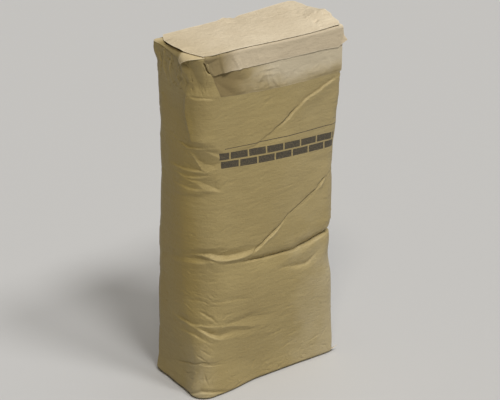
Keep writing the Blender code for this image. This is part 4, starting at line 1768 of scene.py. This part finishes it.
@dataclass
class ValveSleeve:
    """The flattened sleeve of the filling valve, whose lip bends down over the -X edge.

    The border's places, the overhang, the lift and the swell are in millimetres. overhang_from and
    overhang_length are shares of the length.
    """

    form: SackForm
    finish: bpy.types.Material
    step: float = 0.0012
    thickness: float = 0.0007
    inner_end: float = 0.6225
    lower_border: Path = (
        (-284, 597.0, 0.0), (-262, 595.0, 0.2), (-240, 593.5, 0.4), (-215, 590.5, 0.5), (-196, 588.0, 0.7),
        (-183, 586.0, 0.9), (-177, 583.0, 1.0), (-168, 588.0, 0.9), (-158, 591.5, 0.7), (-140, 594.5, 0.5),
        (-128, 596.5, 0.2), (-118, 597.5, 0.0),
    )
    overhang: float = 2.6
    overhang_from: float = 0.62
    overhang_length: float = 0.38
    overhang_power: float = 1.6
    length: float = 0.034
    lift: float = 0.2
    swell: float = 0.3
    swell_size: Triple = (0.012, 0.012, 0.012)

    def build(self) -> bpy.types.Object:
        """Makes the sleeve's visible end and dresses it.

        Returns:
            The piece.
        """
        border_u, border_v, border_out = np.asarray(self.lower_border, float).T
        rows = round((border_u[-1] - border_u[0]) * MM / self.step)
        columns = round(self.length / self.step)
        along = np.linspace(border_u[0], border_u[-1], rows)
        u, share = np.meshgrid(along, np.linspace(0.0, 1.0, columns), indexing="ij")
        u, share = u.ravel(), share.ravel()
        v = self.inner_end + (np.interp(u, border_u, border_v) * MM - self.inner_end) * share
        places, normals = self.form.at(u * MM, v)
        curl = np.clip((share - self.overhang_from) / self.overhang_length, 0.0, 1.0) ** self.overhang_power
        lift = self.lift + self.overhang * np.interp(u, border_u, border_out) * curl
        lift += self.swell * GradientNoise(41).at(places, self.swell_size)
        points = places + normals * (lift * MM)[:, None]
        sleeve = make_piece("valve_sleeve_paper", points, grid_faces(rows, columns, False)[:, ::-1])
        thicken(sleeve, self.thickness, 1.0)
        mark_crease_shading_and_wear(sleeve)
        dress(sleeve, self.finish, Slot.COVER_PAPER, "valve_sleeve")
        return sleeve


@dataclass
class BaseCover:
    """The sheet under the lower end, with one corner that peeps out and turns up.

    corner_from and corner_length are in half widths and half depths, added up.
    """

    finish: bpy.types.Material
    half_width: float = 0.130
    half_depth: float = 0.057
    step: float = 0.0015
    height: float = 0.0001
    corner_from: float = 1.72
    corner_length: float = 0.28
    corner_right: float = 0.0150
    corner_front: float = 0.0110
    corner_rise: float = 0.012

    def build(self) -> bpy.types.Object:
        """Makes the sheet and dresses it.

        Returns:
            The piece.
        """
        columns = round(2 * self.half_width / self.step)
        rows = round(2 * self.half_depth / self.step)
        deep = np.linspace(-1.0, 1.0, rows)
        deep, across = np.meshgrid(deep, np.linspace(-1.0, 1.0, columns), indexing="ij")
        x, y = self.half_width * across.ravel(), self.half_depth * deep.ravel()
        corner = x / self.half_width - y / self.half_depth - self.corner_from
        corner = np.clip(corner / self.corner_length, 0.0, 1.0)
        x = x + self.corner_right * corner
        y = y - self.corner_front * corner
        z = self.height + self.corner_rise * corner**3
        sheet = make_piece("base_cover_paper", np.stack([x, y, z], 1), grid_faces(rows, columns, False))
        thicken(sheet, PAPER, 1.0)
        mark_crease_shading_and_wear(sheet)
        dress(sheet, self.finish, Slot.COVER_PAPER, "base_cover_sheet")
        return sheet


@dataclass(frozen=True)
class BroadLight:
    """A broad, even light that comes from one direction.

    Angles are in degrees: azimuth to the right of the front, elevation over the floor, and spread
    across the light. strength is in watts on a square metre.
    """

    name: str
    azimuth: float
    elevation: float
    spread: float
    strength: float
    colour: Triple = (1.0, 1.0, 1.0)

    def hang(self) -> None:
        """Adds the light to the scene."""
        data = bpy.data.lights.new(self.name, "SUN")
        data.angle = math.radians(self.spread)
        data.energy = self.strength
        data.color = self.colour
        light = bpy.data.objects.new(self.name, data)
        light.rotation_euler = (math.radians(90.0 - self.elevation), 0.0, math.radians(self.azimuth))
        light.location = (0.0, 0.0, 2.0)
        bpy.context.scene.collection.objects.link(light)


LIGHTS = (
    BroadLight("key_right", 24.0, 57.0, 12.0, 0.95),
    BroadLight("key_middle", -6.0, 58.0, 12.0, 1.10),
    BroadLight("key_left", -38.0, 56.0, 12.0, 0.75, (1.0, 0.93, 0.82)),
    BroadLight("overhead", 90.0, 82.0, 40.0, 0.75),
)


@dataclass
class Studio:
    """A pale floor, soft lights and the camera.

    The lens and the sensor are in millimetres, pitch and azimuth in degrees, and floor_grain in
    swells in a metre.
    """

    floor_half: float = 9.0
    floor_colour: Colour = (0.54, 0.535, 0.525, 1.0)
    floor_roughness: Span = (0.75, 0.85)
    floor_sheen: float = 0.15
    floor_grain: float = 300.0
    air_colour: Colour = (1.0, 0.99, 0.97, 1.0)
    air_strength: float = 0.05
    lens: float = 144.0
    sensor: float = 36.0
    far_clip: float = 50.0
    pitch: float = 25.51
    azimuth: float = -35.68
    distance: float = 3.291
    aim: Triple = (0.0, 0.0, 0.3)
    shift_right: float = 0.0077
    shift_up: float = 0.0018

    def camera(self) -> None:
        """Sets the camera at the photograph's viewing angle."""
        data = bpy.data.cameras.new("camera")
        data.lens = self.lens
        data.sensor_width = self.sensor
        data.clip_end = self.far_clip
        pitch, azimuth = math.radians(self.pitch), math.radians(self.azimuth)
        flat = math.cos(pitch)
        back = np.array([math.sin(azimuth) * flat, -math.cos(azimuth) * flat, math.sin(pitch)])
        right = np.array([math.cos(azimuth), math.sin(azimuth), 0.0])
        up = np.cross(back, right)
        place = np.array(self.aim) + back * self.distance + right * self.shift_right + up * self.shift_up
        camera = bpy.data.objects.new("camera", data)
        camera.location = place
        camera.rotation_euler = (math.pi / 2 - pitch, 0.0, azimuth)
        bpy.context.scene.collection.objects.link(camera)
        bpy.context.scene.camera = camera

    def floor(self) -> None:
        """Lays the floor."""
        recipe = Recipe("studio_floor")
        grain = recipe.noise(self.floor_grain, detail=2.0)
        recipe.shader.inputs["Base Color"].default_value = self.floor_colour
        recipe.feed(recipe.shader.inputs["Roughness"], recipe.spread(grain, *MIDDLE, *self.floor_roughness))
        recipe.shader.inputs["Specular IOR Level"].default_value = self.floor_sheen
        half = self.floor_half
        corners = np.array([(-half, -half, 0.0), (half, -half, 0.0), (half, half, 0.0), (-half, half, 0.0)])
        floor = make_piece("studio_floor", corners, np.array([[0, 1, 2, 3]]))
        floor.data.materials.append(recipe.material)

    def light(self) -> None:
        """Hangs the lights and sets the dim light all round."""
        for light in LIGHTS:
            light.hang()
        world = bpy.data.worlds.new("studio_air")
        world.use_nodes = True
        background = world.node_tree.nodes["Background"]
        background.inputs["Color"].default_value = self.air_colour
        background.inputs["Strength"].default_value = self.air_strength
        bpy.context.scene.world = world
        bpy.context.scene.view_settings.view_transform = "Standard"

    def build(self) -> None:
        """Sets up the whole studio."""
        self.camera()
        self.floor()
        self.light()


TUBE_PAPER = KraftPaper(
    name="kraft_tube_paper",
    light=(0.424, 0.330, 0.139, 1.0),
    dark=(0.298, 0.222, 0.082, 1.0),
    worn_and_highlight=(0.56, 0.46, 0.24, 1.0),
    roughness=(0.43, 0.56),
    fibre_relief=0.00026,
    wrinkle_relief=0.0009,
    patches=(
        # A slight pale haze over the whole front: dust and painted sheen on the lit face.
        Patch(DUST_AND_SHEEN, 0.05, ((Axis.Y, -0.040, -0.064),)),
        # Darker, yellower colour on the valve's narrow side, less near the bottom and the top: painted shade
        # on the side that lies away from the lights.
        Patch((0.335, 0.240, 0.066, 1.0), 0.50, (
            (Axis.X, -0.118, -0.136), (Axis.Y, -0.062, -0.040), (Axis.Z, 0.070, 0.180),
            (Axis.Z, 0.545, 0.500),
        )),
        # Paler towards the right part of the front: dust and painted sheen.
        Patch(DUST_AND_SHEEN, 0.06, ((Axis.X, 0.000, 0.110), (Axis.Z, 0.250, 0.300))),
        Patch(DUST_AND_SHEEN, 0.24, ((Axis.X, 0.030, 0.130), (Axis.Z, 0.270, 0.180))),
        # The front-left corner gets paler towards the bottom.
        Patch(DUST_AND_SHEEN, 0.20, ((Axis.X, -0.100, -0.135), (Axis.Z, 0.150, 0.020), (Axis.Y, -0.020, -0.060))),
    ),
    sheen=0.44,
    printed=True,
)
PALE_PAPER = KraftPaper(
    name="pale_cover_paper",
    light=(0.785, 0.677, 0.498, 1.0),
    dark=(0.572, 0.470, 0.320, 1.0),
    worn_and_highlight=(0.83, 0.74, 0.58, 1.0),
    roughness=(0.66, 0.82),
    fibre_relief=0.00045,
    wrinkle_relief=0.0022,
    patches=(Patch((0.54, 0.44, 0.27, 1.0), 0.45, ((Axis.X, -0.050, -0.130),)),),
)
UNDER_PAPER = KraftPaper(
    name="under_flap_paper",
    light=(0.420, 0.330, 0.165, 1.0),
    dark=(0.345, 0.265, 0.125, 1.0),
    worn_and_highlight=(0.56, 0.46, 0.28, 1.0),
    roughness=(0.64, 0.80),
    fibre_relief=0.00020,
    wrinkle_relief=0.0004,
    patches=(
        Patch((0.66, 0.58, 0.43, 1.0), 0.80, ((Axis.X, -0.060, -0.002), (Axis.Z, 0.516, 0.546))),
        # The flap's left part is dark brown: brown paper with painted shade in the hollow there.
        Patch((0.225, 0.168, 0.076, 1.0), 0.85, ((Axis.X, -0.026, -0.074),), 0.3),
    ),
    sheen=0.36,
)
OUTER_PAPER = KraftPaper(
    name="outer_flap_paper",
    light=(0.660, 0.560, 0.400, 1.0),
    dark=(0.560, 0.462, 0.318, 1.0),
    worn_and_highlight=(0.74, 0.65, 0.49, 1.0),
    roughness=(0.66, 0.82),
    fibre_relief=0.00020,
    wrinkle_relief=0.0006,
    patches=(Patch((0.28, 0.215, 0.105, 1.0), 0.94, ((Axis.X, -0.058, -0.092),), 0.3),),
)
SLEEVE_PAPER = KraftPaper(
    name="valve_sleeve_paper",
    light=(0.620, 0.505, 0.300, 1.0),
    dark=(0.540, 0.432, 0.245, 1.0),
    worn_and_highlight=(0.70, 0.60, 0.40, 1.0),
    roughness=(0.60, 0.76),
    fibre_relief=0.00016,
    wrinkle_relief=0.0004,
    patches=(Patch(BROWN, 0.94, ((Axis.Y, -0.022, -0.014), (Axis.Y, 0.058, 0.044)), 0.3),),
)


def main() -> None:
    """Builds the sack's pieces and the studio, in order."""
    form = SackForm()
    tube_paper = TUBE_PAPER.make()
    cover_paper = PALE_PAPER.make()
    flap_paper = UNDER_PAPER.make()
    outer_paper = OUTER_PAPER.make()
    sleeve_paper = SLEEVE_PAPER.make()
    tube = PaperTube(form, tube_paper)
    tube.build()
    CementFill(tube, CementPowder().make()).build()
    ClosingFlap(
        wall=tube, finish=flap_paper, name="under_flap_paper", node="under_flap", lift=0.0005,
        lower_edge=UNDER_LOWER_EDGE, left_edge=UNDER_LEFT_EDGE, right_edge=UNDER_RIGHT_EDGE,
        folds=UNDER_FOLDS, lower_curl=0.1, give=5.2, glued=True, seed=51,
    ).build()
    ClosingFlap(
        wall=tube, finish=outer_paper, name="outer_flap_paper", node="outer_flap", lift=0.0016,
        lower_edge=OUTER_LOWER_EDGE, left_edge=OUTER_LEFT_EDGE, right_edge=OUTER_RIGHT_EDGE,
        folds=OUTER_FOLDS, lower_curl=0.25, give=0.0, glued=False, seed=61,
    ).build()
    ValveSleeve(form, sleeve_paper).build()
    TopCover(form, cover_paper).build()
    BaseCover(cover_paper).build()
    Studio().build()


if __name__ == "__main__":
    main()
